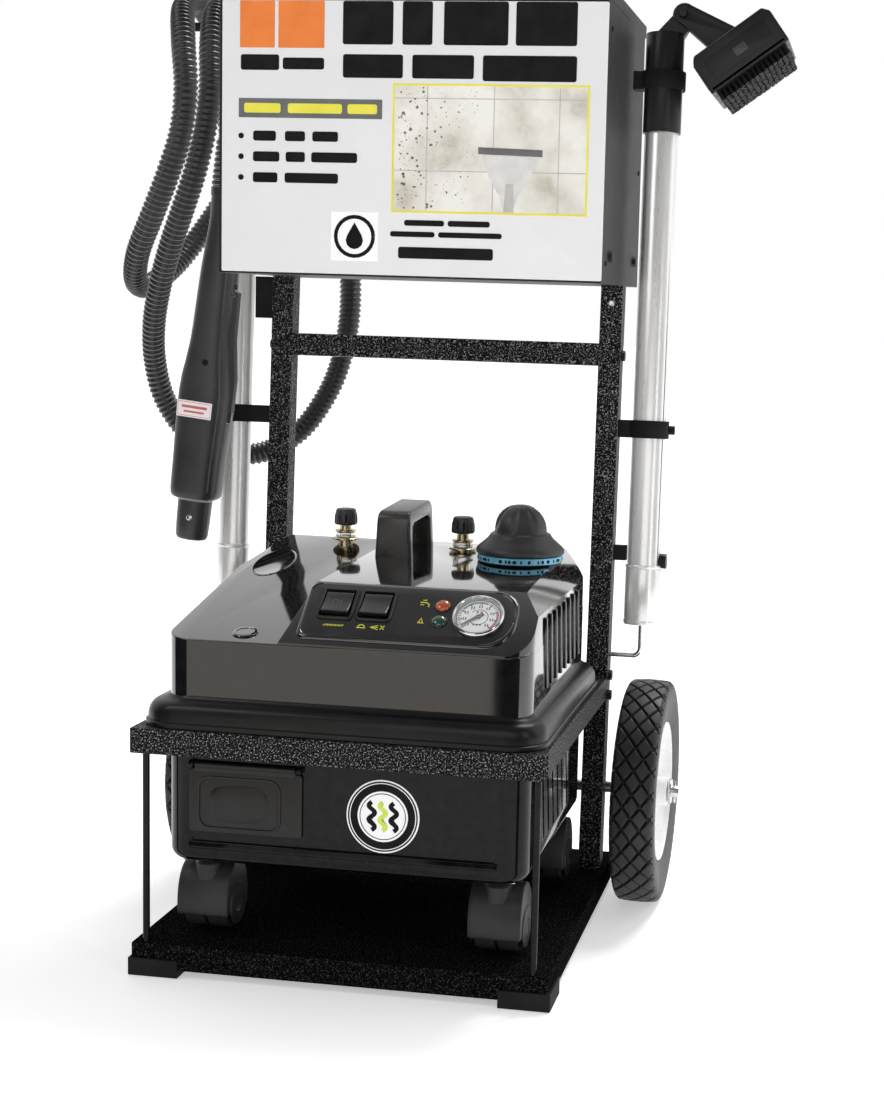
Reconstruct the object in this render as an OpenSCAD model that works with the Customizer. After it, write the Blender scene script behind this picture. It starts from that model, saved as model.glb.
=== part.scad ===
// Commercial vapour steam cleaner on casters, carried in a two-wheeled rental cart
// with an accessory box, two wand tubes, a handset and its steam hose.
// Millimetres. +Z is up, the front faces -Y, and the cart stands on z = 0.

/* [Cart] */
// Width of the base
tray_w = 424; // [420:2:428]
// Depth of the base
tray_d = 420; // [412:2:424]
// Height of the base plate's top above the floor
tray_top = 33; // [31:1:36]
// Lean of the uprights, degrees back from vertical
lean = 3.6; // [3:0.2:4.2]
// Side of the uprights' square tube
tube = 25; // [22:1:26]
// Length of the uprights
upright_len = 945; // [900:5:950]
// Height of the retaining rail's top
rail_top = 256; // [254:1:258]
// Height of the retaining rail
rail_h = 25; // [20:1:28]

/* [Wheels] */
// Outside diameter of the tyres
wheel_d = 254; // [248:2:256]
// Width of the tyres
tyre_w = 50; // [40:1:52]
// Diameter of the rims
rim_d = 159; // [150:1:165]
// Diameter of the axle
axle_d = 12.7; // [10:0.1:14]
// Diameter of the steamer's caster wheels
caster_d = 50; // [44:1:50]

/* [Accessory box] */
// Width of the box
box_w = 415; // [414.6:0.1:415.4]
// Depth of the box
box_d = 272; // [260:2:274]
// Height of the box
box_h = 299; // [290:1:310]
// Thickness of the box's sheet
sheet = 1.2; // [1:0.1:1.2]

/* [Steamer] */
// Width of the steamer's body
body_w = 366; // [360:2:368]
// Height of the console's deck at its front edge
deck_h = 397; // [394:1:400]
// Diameter of the pressure gauge
gauge_d = 52; // [46:1:54]
// Diameter of the boiler's safety cap
cap_d = 95; // [88:1:96]

/* [Wands] */
// Diameter of the right wand tube
wand_d = 38.5; // [37:0.5:38.5]
// Diameter of the left wand tube
left_wand_d = 34; // [30:0.5:34]
// Bottom of the wand tubes above the floor
wand_bottom = 318; // [312:1:322]

/* [Hose] */
// Outside diameter of the steam hose
hose_d = 27; // [24:0.5:27]

/* [Hidden] */
$fn = 64;

// colours
frame_black = [0.07, 0.07, 0.07];
gloss_black = [0.03, 0.03, 0.035];
dark_plastic = [0.1, 0.1, 0.1];
rubber_black = [0.06, 0.06, 0.06];
steel = [0.75, 0.75, 0.77];
alu = [0.82, 0.82, 0.83];
brass = [0.8, 0.65, 0.3];

// working places, measured from the middle of the base
frame_low = 7;             // underside of the base frame
plate_t = 3;               // thickness of the base plate and the rails
upright_y = 136.8;         // front of the uprights where they meet the base plate
upright_out = 206;         // outer face of the uprights
rail_out = 206;            // outer face of the side rails
rail_front_y = -226;       // front face of the retaining rail
fit = 0.05;                // radial clearance of a running fit
gap = 0.4;                 // clearance between bodies that move apart
axle_y = 155;
axle_z = wheel_d / 2;
wheel_out = 279.5;         // outer face of the tyres
axle_half = 293;

// the box
box_front = 11;
box_low = 701;
box_top = box_low + box_h;
box_back = box_front + box_d;
hinge_y = box_back + 5;
hinge_z = box_top + 1;
pin_r = 2;

// the steamer
body_x = 2;                // middle of the steamer
body_front = -205;
body_back = 118;
shell_low = 118;
shell_t = 3;
flange_out = 203;
flange_front = -222;
flange_back = 130;
flange_t = 6;
skirt_low = rail_top + flange_t;
skirt_top = skirt_low + 20;
front_edge_z = 345;        // top of the cover's front face
deck_front_y = -142;       // front edge of the deck
rear_rise = 10;            // rise of the deck from its front to its rear
deck_slope = atan(rear_rise / (body_back - deck_front_y));
panel_slope = 39;          // slope of the control panel
panel_y = -200;
panel_z = 349;
panel_len = (deck_front_y - panel_y) / cos(panel_slope);
wall_top_x = -40;          // left edge of the console at its top
wall_low_x = -66;          // left edge of the console at its foot

// controls, as [across, up the slope]
power_at = [-16, 46];
steam_at = [23, 46];
red_at = [89, 51];
green_at = [89, 31];
gauge_at = [127, 38];
rocker_w = 32;
rocker_l = 36;

// deck fittings
handle_x = -9;
left_valve = [-88, 93];
right_valve = [53, 69];
cap_at = [126, 28];
neck_top = 412;

// steam socket and flap
flap_x0 = -152;
flap_x1 = -37;
flap_z0 = 152;
flap_z1 = 217;
socket_at = [-98, 180];

// casters
caster_x = 150;
caster_rows = [-166, 70];
caster_trail = 13;
caster_axle_z = tray_top + 5 + caster_d / 2;
stem_r = 5;

// wands
wand_x = 241;
left_wand_x = -250;
clip_z = 540;
clip_h = 20;
sleeve_t = 1.25;           // thickness of the sleeve round the foot of each tube
right_wand_top = 880;
left_wand_top = 830;
neck_r = 21.5;
neck_top_z = 982;
head_pivot = [262, 1003];
head_low_corner = [310, 899];
head_angle = 36;           // tilt of the brush head
head_l = 100;
head_t = 45;
bristle_t = 12;
head_depth = 150;

// handset
handset_low = [-281, 118, 396];
handset_high = [-240, 118, 770];

// push handle and hose hook
handle_r = 11;
handle_reach = 58;
hook_y = 150;
hook_z = 978;
hook_r = 5;
hook_reach = 100;

// middle of the whole cart, from the hose hook to the brush head and from the rail to the push handle
right_reach = head_low_corner[0] + (head_l - 5) * cos(head_angle);
left_reach = box_w / 2 + hook_reach + hook_r;
mid_x = (right_reach - left_reach) / 2;
mid_y = (rail_front_y + box_back + handle_reach + handle_r) / 2;

function upright_front(z) = upright_y + (z - tray_top) * tan(lean);
function wand_y(z) = upright_front(z) + tube / 2;
function deck_z(y) = deck_h + (y - deck_front_y) * tan(deck_slope);

// the low deck on the left, and the finger recess in it
low_deck_slope = atan((deck_z(body_back) - 2 - front_edge_z) / (body_back - body_front - 21));
recess_at = [-147, 22];
recess_w = 40;
recess_l = 84;
recess_depth = 1.5;
function low_deck_z(y) = front_edge_z + (y - body_front - 9) * tan(low_deck_slope);

module place() {
    translate([-mid_x, -mid_y, 0]) children();
}

// axes of the uprights: z runs up along them, from the base plate
module lean_frame() {
    translate([0, upright_y, tray_top]) rotate([-lean, 0, 0]) children();
}

// axes of a wand tube: z runs up the tube from height z0 on its centre line
module wand_frame(x, z0) {
    translate([x, wand_y(z0), z0]) rotate([-lean, 0, 0]) children();
}

// axes of the control panel: y runs up the slope, z stands out of the panel
module panel_frame(at) {
    translate([at[0], panel_y, panel_z]) rotate([panel_slope, 0, 0]) translate([0, at[1], 0]) children();
}

// box between two corners
module block(low, high) {
    translate(low) cube(high - low);
}

// upright box with rounded vertical corners, between two corners
module round_block(low, high, r) {
    translate([0, 0, low[2]]) linear_extrude(high[2] - low[2])
        round_rect([low[0], low[1]], [high[0], high[1]], r);
}

// rectangle with corners of radius r, as four circles and two squares
module round_rect(low, high, r) {
    translate([low[0] + r, low[1]]) square([high[0] - low[0] - 2 * r, high[1] - low[1]]);
    translate([low[0], low[1] + r]) square([high[0] - low[0], high[1] - low[1] - 2 * r]);
    for (x = [low[0] + r, high[0] - r]) {
        for (y = [low[1] + r, high[1] - r]) {
            translate([x, y]) circle(r);
        }
    }
}

// outline in the Y-Z plane, carried along X
module along_x(x0, x1) {
    translate([x0, 0, 0]) rotate([90, 0, 90]) linear_extrude(x1 - x0) children();
}

// outline in the X-Z plane, carried along Y
module along_y(y0, y1) {
    translate([0, y1, 0]) rotate([90, 0, 0]) linear_extrude(y1 - y0) children();
}

// ---------------------------------------------------------------- cart

// bent sheet tray with its flanges turned down
module base_tray() {
    half_w = tray_w / 2;
    half_d = tray_d / 2;
    color(frame_black) place() difference() {
        block([-half_w, -half_d, frame_low], [half_w, half_d, tray_top]);
        block([-half_w + plate_t, -half_d + plate_t, frame_low - 1],
            [half_w - plate_t, half_d - plate_t, tray_top - plate_t]);
    }
}

// corner foot: a pad under the frame with a lip round its corner
module front_foot() {
    lip = 3;
    size = 52;
    difference() {
        block([-lip, -lip, 0], [size - lip, size - lip, 18]);
        block([0, 0, frame_low], [size, size, 19]);
    }
}

module front_feet() {
    color(rubber_black) place() {
        translate([-tray_w / 2, -tray_d / 2, 0]) front_foot();
        mirror([1, 0, 0]) translate([-tray_w / 2, -tray_d / 2, 0]) front_foot();
    }
}

// angle section in the Y-Z plane with its outer corner at the top left
module angle_section(leg) {
    translate([0, -rail_h]) square([plate_t, rail_h]);
    translate([0, -plate_t]) square([leg, plate_t]);
}

module front_rail() {
    color(frame_black) place()
        along_x(-rail_out, rail_out) translate([rail_front_y, rail_top]) angle_section(18);
}

module side_rails() {
    rear = upright_front(rail_top - rail_h);
    color(frame_black) place() {
        for (side = [-1, 1]) {
            block([min(side * rail_out, side * (rail_out - plate_t)), rail_front_y + 18, rail_top - rail_h],
                [max(side * rail_out, side * (rail_out - plate_t)), rear, rail_top]);
            block([min(side * (rail_out - plate_t), side * 191), rail_front_y + 18, rail_top - plate_t],
                [max(side * (rail_out - plate_t), side * 191), rear, rail_top]);
        }
    }
}

module rail_rods() {
    color(frame_black) place() {
        for (x = [-198.5, 196]) {
            translate([x, -204, tray_top]) cylinder(d = 7, h = rail_top - plate_t - tray_top);
        }
    }
}

module square_tube(length) {
    difference() {
        cube([tube, tube, length]);
        translate([2, 2, -1]) cube([tube - 4, tube - 4, length + 2]);
    }
}

module uprights() {
    color(frame_black) place() difference() {
        lean_frame() {
            for (x = [-upright_out, upright_out - tube]) {
                translate([x, 0, -5]) square_tube(upright_len + 5);
            }
        }
        block([-tray_w, upright_y - 40, 0], [tray_w, upright_y + 60, tray_top]);
        translate([-tray_w, axle_y, axle_z]) rotate([0, 90, 0])
            cylinder(r = axle_d / 2 + gap, h = 2 * tray_w);
    }
}

module cross_bars() {
    inner = upright_out - tube;
    color(frame_black) place() lean_frame() {
        for (s = [190, 579]) {
            translate([-inner, 0, s]) cube([2 * inner, tube, tube]);
        }
    }
}

// bent tube handle on the back of the box
module push_handle() {
    r = handle_r;
    half = 140;
    reach = handle_reach;
    bend = 30;
    z = 935;
    color(frame_black) place() translate([0, box_back, z]) {
        for (side = [-1, 1]) {
            translate([side * half, 0, 0]) rotate([-90, 0, 0]) cylinder(r = r, h = reach - bend);
            translate([side * half, 0, 0]) rotate([-90, 0, 0]) cylinder(r = 24, h = 4);
        }
        translate([-half + bend, reach, 0]) rotate([0, 90, 0]) cylinder(r = r, h = 2 * (half - bend));
        translate([half - bend, reach - bend, 0]) rotate_extrude(angle = 90) translate([bend, 0]) circle(r);
        translate([-half + bend, reach - bend, 0]) rotate([0, 0, 90])
            rotate_extrude(angle = 90) translate([bend, 0]) circle(r);
    }
}

// axle rod with a washer and a cotter pin outside each wheel
module axle() {
    washer_x = wheel_out + 2;
    color(steel) place() translate([0, axle_y, axle_z]) {
        rotate([0, 90, 0]) translate([0, 0, -axle_half]) cylinder(d = axle_d, h = 2 * axle_half);
        for (side = [-1, 1]) {
            translate([side * (washer_x + 1.5), 0, 0]) rotate([0, 90, 0]) translate([0, 0, -1.5])
                cylinder(r = 14, h = 3);
            translate([side * (axle_half - 5), 0, -13]) cylinder(d = 3, h = 26);
        }
    }
}

// ---------------------------------------------------------------- accessory box

module upright_notch() {
    block([upright_out - tube - 1, 165, box_low - 1], [box_w / 2 - sheet, 215, box_low + sheet + 1]);
}

module hinge_knuckle(x0, x1) {
    difference() {
        translate([x0, hinge_y, hinge_z]) rotate([0, 90, 0]) cylinder(r = 4.5, h = x1 - x0);
        translate([x0 - 1, hinge_y, hinge_z]) rotate([0, 90, 0]) cylinder(r = pin_r + fit, h = x1 - x0 + 2);
    }
}

knuckle_len = 40;
knuckle_x = [-120, 0, 120];

module box_shell() {
    half = box_w / 2;
    color(dark_plastic) place() {
        difference() {
            block([-half, box_front, box_low], [half, box_back, box_top]);
            block([-half + sheet, box_front + sheet, box_low + sheet],
                [half - sheet, box_back - sheet, box_top + 1]);
            upright_notch();
            mirror([1, 0, 0]) upright_notch();
        }
        for (x = knuckle_x) {
            hinge_knuckle(x - knuckle_len / 2, x + knuckle_len / 2);
            block([x - knuckle_len / 2, box_back - 0.4, hinge_z - 14],
                [x + knuckle_len / 2, box_back + 2, hinge_z - 1]);
            block([x - knuckle_len / 2, box_back + 0.5, hinge_z - 7],
                [x + knuckle_len / 2, box_back + 4, hinge_z - 3]);
        }
    }
}

module lid_hinge_pin() {
    reach = knuckle_x[2] + 1.5 * knuckle_len + 5;
    color(steel) place() translate([-reach, hinge_y, hinge_z]) rotate([0, 90, 0])
        cylinder(r = pin_r, h = 2 * reach);
}

// pressed lid with a lip over the front and the sides, and knuckles between those of the box
module box_lid() {
    half = box_w / 2 + gap + sheet;
    low = box_top - 12;
    top = box_top + gap + sheet;
    knuckle_gap = 0.5;
    color(dark_plastic) place() {
        difference() {
            block([-half, box_front - gap - sheet, low], [half, box_back - 1, top]);
            block([-half + sheet, box_front - gap, low - 1], [half - sheet, box_back, top - sheet]);
        }
        for (x = [knuckle_x[0], knuckle_x[2]]) {
            x0 = x > 0 ? x + knuckle_len / 2 + knuckle_gap : x - 1.5 * knuckle_len - knuckle_gap;
            hinge_knuckle(x0, x0 + knuckle_len);
            block([x0, box_back - 3, top - sheet], [x0 + knuckle_len, hinge_y - 2.6, top]);
        }
    }
}

module sign_panel() {
    half = 205;
    t = 3;
    color([0.85, 0.85, 0.85]) place()
        block([-half, box_front - t, box_low], [half, box_front, box_top - 15]);
}

// ---------------------------------------------------------------- holders

// strap from an upright to a ring round a tube
module strap(inner_x, tube_x, r, h, side) {
    wall = 3;
    ring_r = r + gap + wall;
    difference() {
        union() {
            cylinder(r = ring_r, h = h);
            translate([min(inner_x - tube_x, 0), -9, 0]) cube([abs(inner_x - tube_x), 18, h]);
        }
        translate([0, 0, -1]) cylinder(r = r + gap, h = h + 2);
    }
    translate([side * (ring_r + 3), 0, h / 2]) rotate([0, 90, 0]) translate([0, 0, -3.5])
        cylinder(r = 5, h = 7);
}

// upper band, reaching out from the side of the box
module neck_band() {
    r = neck_r + gap;
    wall = 3;
    difference() {
        union() {
            cylinder(r = r + wall, h = clip_h);
            translate([box_w / 2 - wand_x, -9, 0]) cube([wand_x - box_w / 2, 18, clip_h]);
        }
        translate([0, 0, -1]) cylinder(r = r, h = clip_h + 2);
    }
}

// saddle behind the foot of the right tube
module saddle() {
    difference() {
        translate([upright_out - wand_x, -7, 0]) cube([wand_x - upright_out, 14, 17]);
        translate([0, 0, -1]) cylinder(r = wand_d / 2 + sleeve_t + gap, h = 19);
    }
}

module wand_clips() {
    color(frame_black) place() {
        // tab on the left upright, under the box
        block([-229, 184, 652], [-upright_out, 187, 700]);
        wand_frame(wand_x, clip_z - clip_h / 2) strap(upright_out, wand_x, wand_d / 2, clip_h, 1);
        wand_frame(left_wand_x, clip_z - clip_h / 2)
            strap(-upright_out, left_wand_x, left_wand_d / 2, clip_h, -1);
        wand_frame(wand_x, 390) saddle();
        difference() {
            wand_frame(wand_x, 920) neck_band();
            block([0, 0, 900], [box_w / 2, 400, 960]);
        }
    }
}

// bent wire whose upright leg stands up inside a wand tube
module wire_hook(from_x, to_x) {
    r = 2.75;
    bend = 9;
    side = sign(to_x - from_x);
    rise = 48;
    run = abs(to_x - from_x) - bend;
    rotate([0, side * 90, 0]) cylinder(r = r, h = run);
    translate([side * run, 0, bend]) rotate([90, 0, 0]) rotate([0, 0, side > 0 ? -90 : 180])
        rotate_extrude(angle = 90) translate([bend, 0]) circle(r);
    translate([side * (run + bend), 0, bend]) cylinder(r = r, h = rise);
}

module wand_hooks() {
    z = wand_bottom - 37;
    color(steel) place() {
        translate([upright_out, wand_y(z), z]) wire_hook(upright_out, wand_x);
        translate([-upright_out, wand_y(z), z]) wire_hook(-upright_out, left_wand_x);
    }
}

// round bar with a turned-up end, on a plate fixed to the left side of the box
module hose_hook() {
    side_x = -box_w / 2;
    bend = 12;
    color(frame_black) place() translate([side_x, hook_y, hook_z]) {
        translate([-3, -15, -40]) cube([3, 30, 42]);
        rotate([0, -90, 0]) cylinder(r = hook_r, h = hook_reach - bend);
        translate([-(hook_reach - bend), 0, bend]) rotate([90, 0, 0]) rotate([0, 0, 180])
            rotate_extrude(angle = 90) translate([bend, 0]) circle(hook_r);
        translate([-hook_reach, 0, bend]) cylinder(r = hook_r, h = 22);
    }
}

// hexagon heads that hold the rails, the cross bars and the box
module frame_bolts() {
    head_r = 6;
    head_h = 4;
    color(steel) place() {
        for (side = [-1, 1]) {
            for (s = [202, 225, 591]) {
                lean_frame() translate([side > 0 ? upright_out : -upright_out - head_h, tube / 2, s])
                    rotate([0, 90, 0]) cylinder(r = head_r, h = head_h, $fn = 6);
            }
            for (y = [60, 240]) {
                translate([side > 0 ? box_w / 2 : -box_w / 2 - head_h, y, 730]) rotate([0, 90, 0])
                    cylinder(r = head_r, h = head_h, $fn = 6);
            }
        }
    }
}

// ---------------------------------------------------------------- cart wheels

// tyre in its own axes, the axle along z
module tyre_solid() {
    r = wheel_d / 2;
    shoulder = 4;
    bead = rim_d / 2;
    rotate_extrude($fn = 96) polygon([
        [bead, -tyre_w * 0.4], [r - 22, -tyre_w / 2], [r - shoulder, -tyre_w / 2 + 1],
        [r, -tyre_w / 2 + shoulder + 2], [r, tyre_w / 2 - shoulder - 2],
        [r - shoulder, tyre_w / 2 - 1], [r - 22, tyre_w / 2], [bead, tyre_w * 0.4]]);
}

// pressed disc rim with a hub tube
module rim_solid() {
    r = rim_d / 2;
    hub_r = 17;
    bore = axle_d / 2 + fit;
    w = tyre_w * 0.4;
    rotate_extrude($fn = 96) polygon([
        [bore, -29], [hub_r, -29], [hub_r, 4], [r - 14, 4], [r - 3, -w], [r, -w],
        [r, w], [r - 3, w], [r - 12, 8], [hub_r, 8], [hub_r, tyre_w / 2 + 1], [bore, tyre_w / 2 + 1]]);
}

module at_wheel(side) {
    place() translate([side * (wheel_out - tyre_w / 2), axle_y, axle_z]) rotate([0, side * 90, 0])
        children();
}

module left_tyre() {
    color(rubber_black) at_wheel(-1) tyre_solid();
}

module left_rim() {
    color("white") at_wheel(-1) rim_solid();
}

module right_tyre() {
    color(rubber_black) at_wheel(1) tyre_solid();
}

module right_rim() {
    color("white") at_wheel(1) rim_solid();
}

// ---------------------------------------------------------------- steamer shells

// side outline of the cover's low part, set in from the surface by t
module low_profile(t) {
    polygon([
        [body_front + t, skirt_low - 1], [body_front + t, front_edge_z - 10 - t / 2],
        [body_front + 9 + t / 2, front_edge_z - t], [body_back - 12 - t / 2, deck_z(body_back) - t - 2],
        [body_back - t, deck_z(body_back) - 13 - t / 2],
        [body_back - t, skirt_low - 1]]);
}

// side outline of the console, with the slope of the control panel at its front
module console_profile(t) {
    polygon([
        [body_front + t, front_edge_z - 60], [body_front + t, front_edge_z - 4 - t / 2],
        [panel_y + t / 2, panel_z - t], [deck_front_y + t / 3, deck_h - t],
        [body_back - 12 - t / 2, deck_z(body_back) - t], [body_back - t, deck_z(body_back) - 12 - t / 2],
        [body_back - t, front_edge_z - 60]]);
}

body_left = body_x - body_w / 2;
body_right = body_x + body_w / 2;

// front outline of the low part, its top edges eased
module low_front_outline(t) {
    polygon([
        [body_left + t, skirt_low - 1], [body_left + t, deck_h - 12],
        [body_left + 20, deck_h + rear_rise + 1],
        [body_right - 30, deck_h + rear_rise + 1], [body_right - t, front_edge_z],
        [body_right - t, skirt_low - 1]]);
}

// front outline of the console, whose left wall slopes
module console_front_outline(t) {
    polygon([
        [wall_low_x + t, front_edge_z - 60], [wall_low_x + t, front_edge_z - 5],
        [wall_top_x + t, deck_h + rear_rise + 1], [body_right - 26, deck_h + rear_rise + 1],
        [body_right - 14 - t / 2, deck_h - 4 - t / 2], [body_right - t, deck_h - 20 - t / 2],
        [body_right - t, front_edge_z - 60]]);
}

module body_plan(t, r) {
    round_rect([body_left + t, body_front + t], [body_right - t, body_back - t], r);
}

module cover_plan(t) {
    translate([0, 0, skirt_low - 1]) linear_extrude(200) body_plan(t, 30 - t);
}

// the cover's upper volume, set in by t
module cover_volume(t) {
    intersection() {
        cover_plan(t);
        along_x(body_left, body_right) low_profile(t);
        along_y(body_front, body_back) low_front_outline(t);
    }
    intersection() {
        cover_plan(t);
        along_x(body_left, body_right) console_profile(t);
        along_y(body_front, body_back) console_front_outline(t);
    }
}

// skirt that steps out over the flange
module cover_skirt(t) {
    out = flange_out - 2 - t;
    front = flange_front + 2 + t;
    back = flange_back - 2 - t;
    top = skirt_top - t;
    intersection() {
        translate([0, 0, skirt_low - 1]) linear_extrude(60) round_rect([-out, front], [out, back], 34 - t);
        along_x(-out, out) polygon([
            [front, skirt_low - 1], [front, skirt_low + 5], [front + 4, skirt_low + 9], [front + 17, top],
            [back - 14, top], [back - 4, skirt_low + 9], [back, skirt_low + 5], [back, skirt_low - 1]]);
        along_y(front, back) polygon([
            [-out, skirt_low - 1], [-out, skirt_low + 5], [-out + 4, skirt_low + 9], [-out + 20, top],
            [out - 20, top], [out - 4, skirt_low + 9], [out, skirt_low + 5], [out, skirt_low - 1]]);
    }
}

module louvre_slots(y0, count, z0, z1) {
    pitch = 26;
    for (i = [0 : count - 1]) {
        translate([body_x + body_w / 2 - 8, y0 + i * pitch, z0]) rotate([12, 0, 0]) cube([12, 7, z1 - z0]);
    }
}

module top_cover() {
    color(gloss_black) place() difference() {
        union() {
            cover_volume(0);
            cover_skirt(0);
        }
        cover_volume(shell_t);
        cover_skirt(shell_t);
        block([-250, -250, skirt_low - 5], [250, 200, skirt_low]);
        louvre_slots(-110, 7, 312, 372);
        // wells for the two switches, the lamps and the gauge
        for (at = [power_at, steam_at]) {
            panel_frame(at) translate([-rocker_w / 2 + 1, -rocker_l / 2 + 1, -20])
                cube([rocker_w - 2, rocker_l - 2, 30]);
        }
        for (at = [red_at, green_at]) {
            panel_frame(at) translate([0, 0, -20]) cylinder(r = 5.2, h = 30);
        }
        panel_frame(gauge_at) translate([0, 0, -30]) cylinder(d = gauge_d - 6, h = 40);
        // bores for the valves and the boiler neck
        for (at = [left_valve, right_valve]) {
            translate([at[0], at[1], deck_h - 40]) cylinder(r = 8.5, h = 60);
        }
        translate([cap_at[0], cap_at[1], deck_h - 40]) cylinder(r = 32, h = 60);
        // long finger recess near the rear left corner
        translate([recess_at[0], recess_at[1], low_deck_z(recess_at[1]) - recess_depth])
            rotate([low_deck_slope, 0, 0])
            round_block([-recess_w / 2, -recess_l / 2, 0], [recess_w / 2, recess_l / 2, 12], 19);
    }
}

module caster_bosses(r, h) {
    for (x = [-caster_x, caster_x]) {
        for (y = caster_rows) {
            translate([body_x + x, y, shell_low]) cylinder(r = r, h = h);
        }
    }
}

module lower_shell() {
    color(gloss_black) place() difference() {
        union() {
            difference() {
                intersection() {
                    translate([0, 0, shell_low]) linear_extrude(skirt_low - shell_low) body_plan(0, 26);
                    along_x(-250, 250) polygon([
                        [body_front, skirt_low], [body_front, shell_low + 9], [body_front + 9, shell_low],
                        [body_back - 9, shell_low], [body_back, shell_low + 9], [body_back, skirt_low]]);
                }
                translate([0, 0, shell_low + shell_t]) linear_extrude(200) body_plan(shell_t, 23);
            }
            difference() {
                round_block([-flange_out, flange_front, rail_top],
                    [flange_out, flange_back, skirt_low], 35);
                translate([0, 0, rail_top - 1]) linear_extrude(20) body_plan(shell_t, 23);
            }
            caster_bosses(11, 20);
            flap_ear(flap_x0);
            flap_ear(flap_x1 - 5);
        }
        translate([0, 0, -1]) caster_bosses(stem_r + fit, 30);
        louvre_slots(-110, 7, 140, 225);
        // opening of the steam socket in the front wall
        translate([socket_at[0], body_front - 1, socket_at[1]]) rotate([-90, 0, 0])
            cylinder(r = 19, h = 10);
        // opening for the cord gland in the back wall
        translate([120, body_back - 10, 180]) rotate([-90, 0, 0]) cylinder(r = 10.5, h = 20);
    }
}

module control_panel() {
    left = -47;
    right = 163;
    color(dark_plastic) place() difference() {
        panel_frame([0, 0]) translate([0, 0, -0.2]) linear_extrude(2.2)
            round_rect([left, 3], [right, panel_len - 2], 12);
        for (at = [power_at, steam_at]) {
            panel_frame(at) translate([-rocker_w / 2 + 1, -rocker_l / 2 + 1, -5])
                cube([rocker_w - 2, rocker_l - 2, 30]);
        }
        for (at = [red_at, green_at]) {
            panel_frame(at) translate([0, 0, -5]) cylinder(r = 5.2, h = 30);
        }
        panel_frame(gauge_at) translate([0, 0, -5]) cylinder(d = gauge_d - 6, h = 40);
        cover_volume(0);
    }
}

// arched handle that runs from front to back over the deck
module carry_handle() {
    y0 = 4;
    y1 = 106;
    w = 40;
    low = deck_h + 2;
    color(dark_plastic) place() difference() {
        along_x(handle_x - w / 2, handle_x + w / 2) difference() {
            union() {
                round_rect([y0, low + 12], [y1, low + 54], 15);
                translate([y0, low]) square([y1 - y0, 30]);
            }
            round_rect([y0 + 13, low - 20], [y1 - 13, low + 40], 10);
        }
        cover_volume(0);
    }
}

// ---------------------------------------------------------------- gauge, lamps and switches

module gauge_case() {
    r = gauge_d / 2;
    color(steel) place() panel_frame(gauge_at) difference() {
        union() {
            translate([0, 0, -24]) cylinder(r = r - 3.3, h = 27);
            translate([0, 0, 2]) cylinder(r = r, h = 6);
        }
        translate([0, 0, 3]) cylinder(r = r - 3, h = 6);
        translate([0, 0, -6]) cylinder(r = 1 + fit, h = 20);
    }
}

module gauge_lens() {
    color([0.8, 0.9, 1, 0.4]) place() panel_frame(gauge_at)
        translate([0, 0, 6.4]) cylinder(r = gauge_d / 2 - 3, h = 1.2);
}

module gauge_needle() {
    color(dark_plastic) place() panel_frame(gauge_at) {
        translate([0, 0, -4]) cylinder(r = 1, h = 9.4);
        translate([0, 0, 3.6]) cylinder(r = 2.6, h = 1.4);
        rotate([0, 0, 218]) translate([-5, -0.6, 4]) cube([22, 1.2, 0.8]);
    }
}

module indicator_lamps() {
    color([0.6, 0.1, 0.05]) place() {
        for (at = [red_at, green_at]) {
            panel_frame(at) translate([0, 0, -12]) cylinder(r = 5, h = 16);
            panel_frame(at) translate([0, 0, 2.2]) cylinder(r = 7, h = 1.8);
        }
    }
}

rocker_pivot = -6;

// rocker cap, tilted on its pivot, with the pivot pin along x
module rocker(at) {
    w = rocker_w - 4;
    l = rocker_l - 8;
    color(gloss_black) place() panel_frame(at) translate([0, 0, rocker_pivot]) {
        along_x(-w / 2, w / 2)
            polygon([[-l / 2, 7], [-l / 2, 14], [0, 11], [l / 2, 10], [l / 2, 4], [0, -5]]);
    }
}

module power_switch() {
    rocker(power_at);
}

module steam_switch() {
    rocker(steam_at);
}

// ---------------------------------------------------------------- valves and boiler cap

valve_top = 425;

module valve_body(at) {
    floor_z = deck_z(at[1]) + 1.3;
    translate([at[0], at[1], 0]) {
        translate([0, 0, deck_h - 30]) cylinder(r = 8, h = floor_z - deck_h + 31);
        translate([0, 0, floor_z]) cylinder(r = 15, h = 2.4);
        translate([0, 0, floor_z + 2]) cylinder(r = 11, h = 9, $fn = 6);
        translate([0, 0, floor_z + 8]) cylinder(r = 6.5, h = valve_top - floor_z - 8);
        translate([0, 0, valve_top - 1]) cylinder(r = 3, h = 14);
    }
}

module valve_bodies() {
    color(brass) place() {
        valve_body(left_valve);
        valve_body(right_valve);
    }
}

// fluted hand knob
module valve_knob(at) {
    flutes = 12;
    color(dark_plastic) place() translate([at[0], at[1], valve_top + 0.4]) difference() {
        union() {
            cylinder(r1 = 13, r2 = 12, h = 12);
            translate([0, 0, 12]) cylinder(r1 = 12, r2 = 9, h = 6);
        }
        translate([0, 0, -1]) cylinder(r = 3 + fit, h = 15);
        for (i = [0 : flutes - 1]) {
            rotate([0, 0, i * 360 / flutes]) translate([13.4, 0, -1]) cylinder(r = 1.8, h = 12);
        }
    }
}

module left_valve_knob() {
    valve_knob(left_valve);
}

module right_valve_knob() {
    valve_knob(right_valve);
}

// threaded neck of the boiler with its blue collar
module filler_neck() {
    color([0.35, 0.6, 0.75]) place() translate([cap_at[0], cap_at[1], 0]) difference() {
        union() {
            translate([0, 0, deck_h - 34]) cylinder(r = 28, h = neck_top + 8 - deck_h + 34);
            difference() {
                translate([0, 0, deck_h + 2]) cylinder(d = cap_d - 4, h = neck_top - deck_h - 2);
                translate([-cap_at[0], -cap_at[1], 0]) cover_volume(0);
            }
        }
        translate([0, 0, deck_h - 40]) cylinder(r = 20, h = 90);
    }
}

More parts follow.
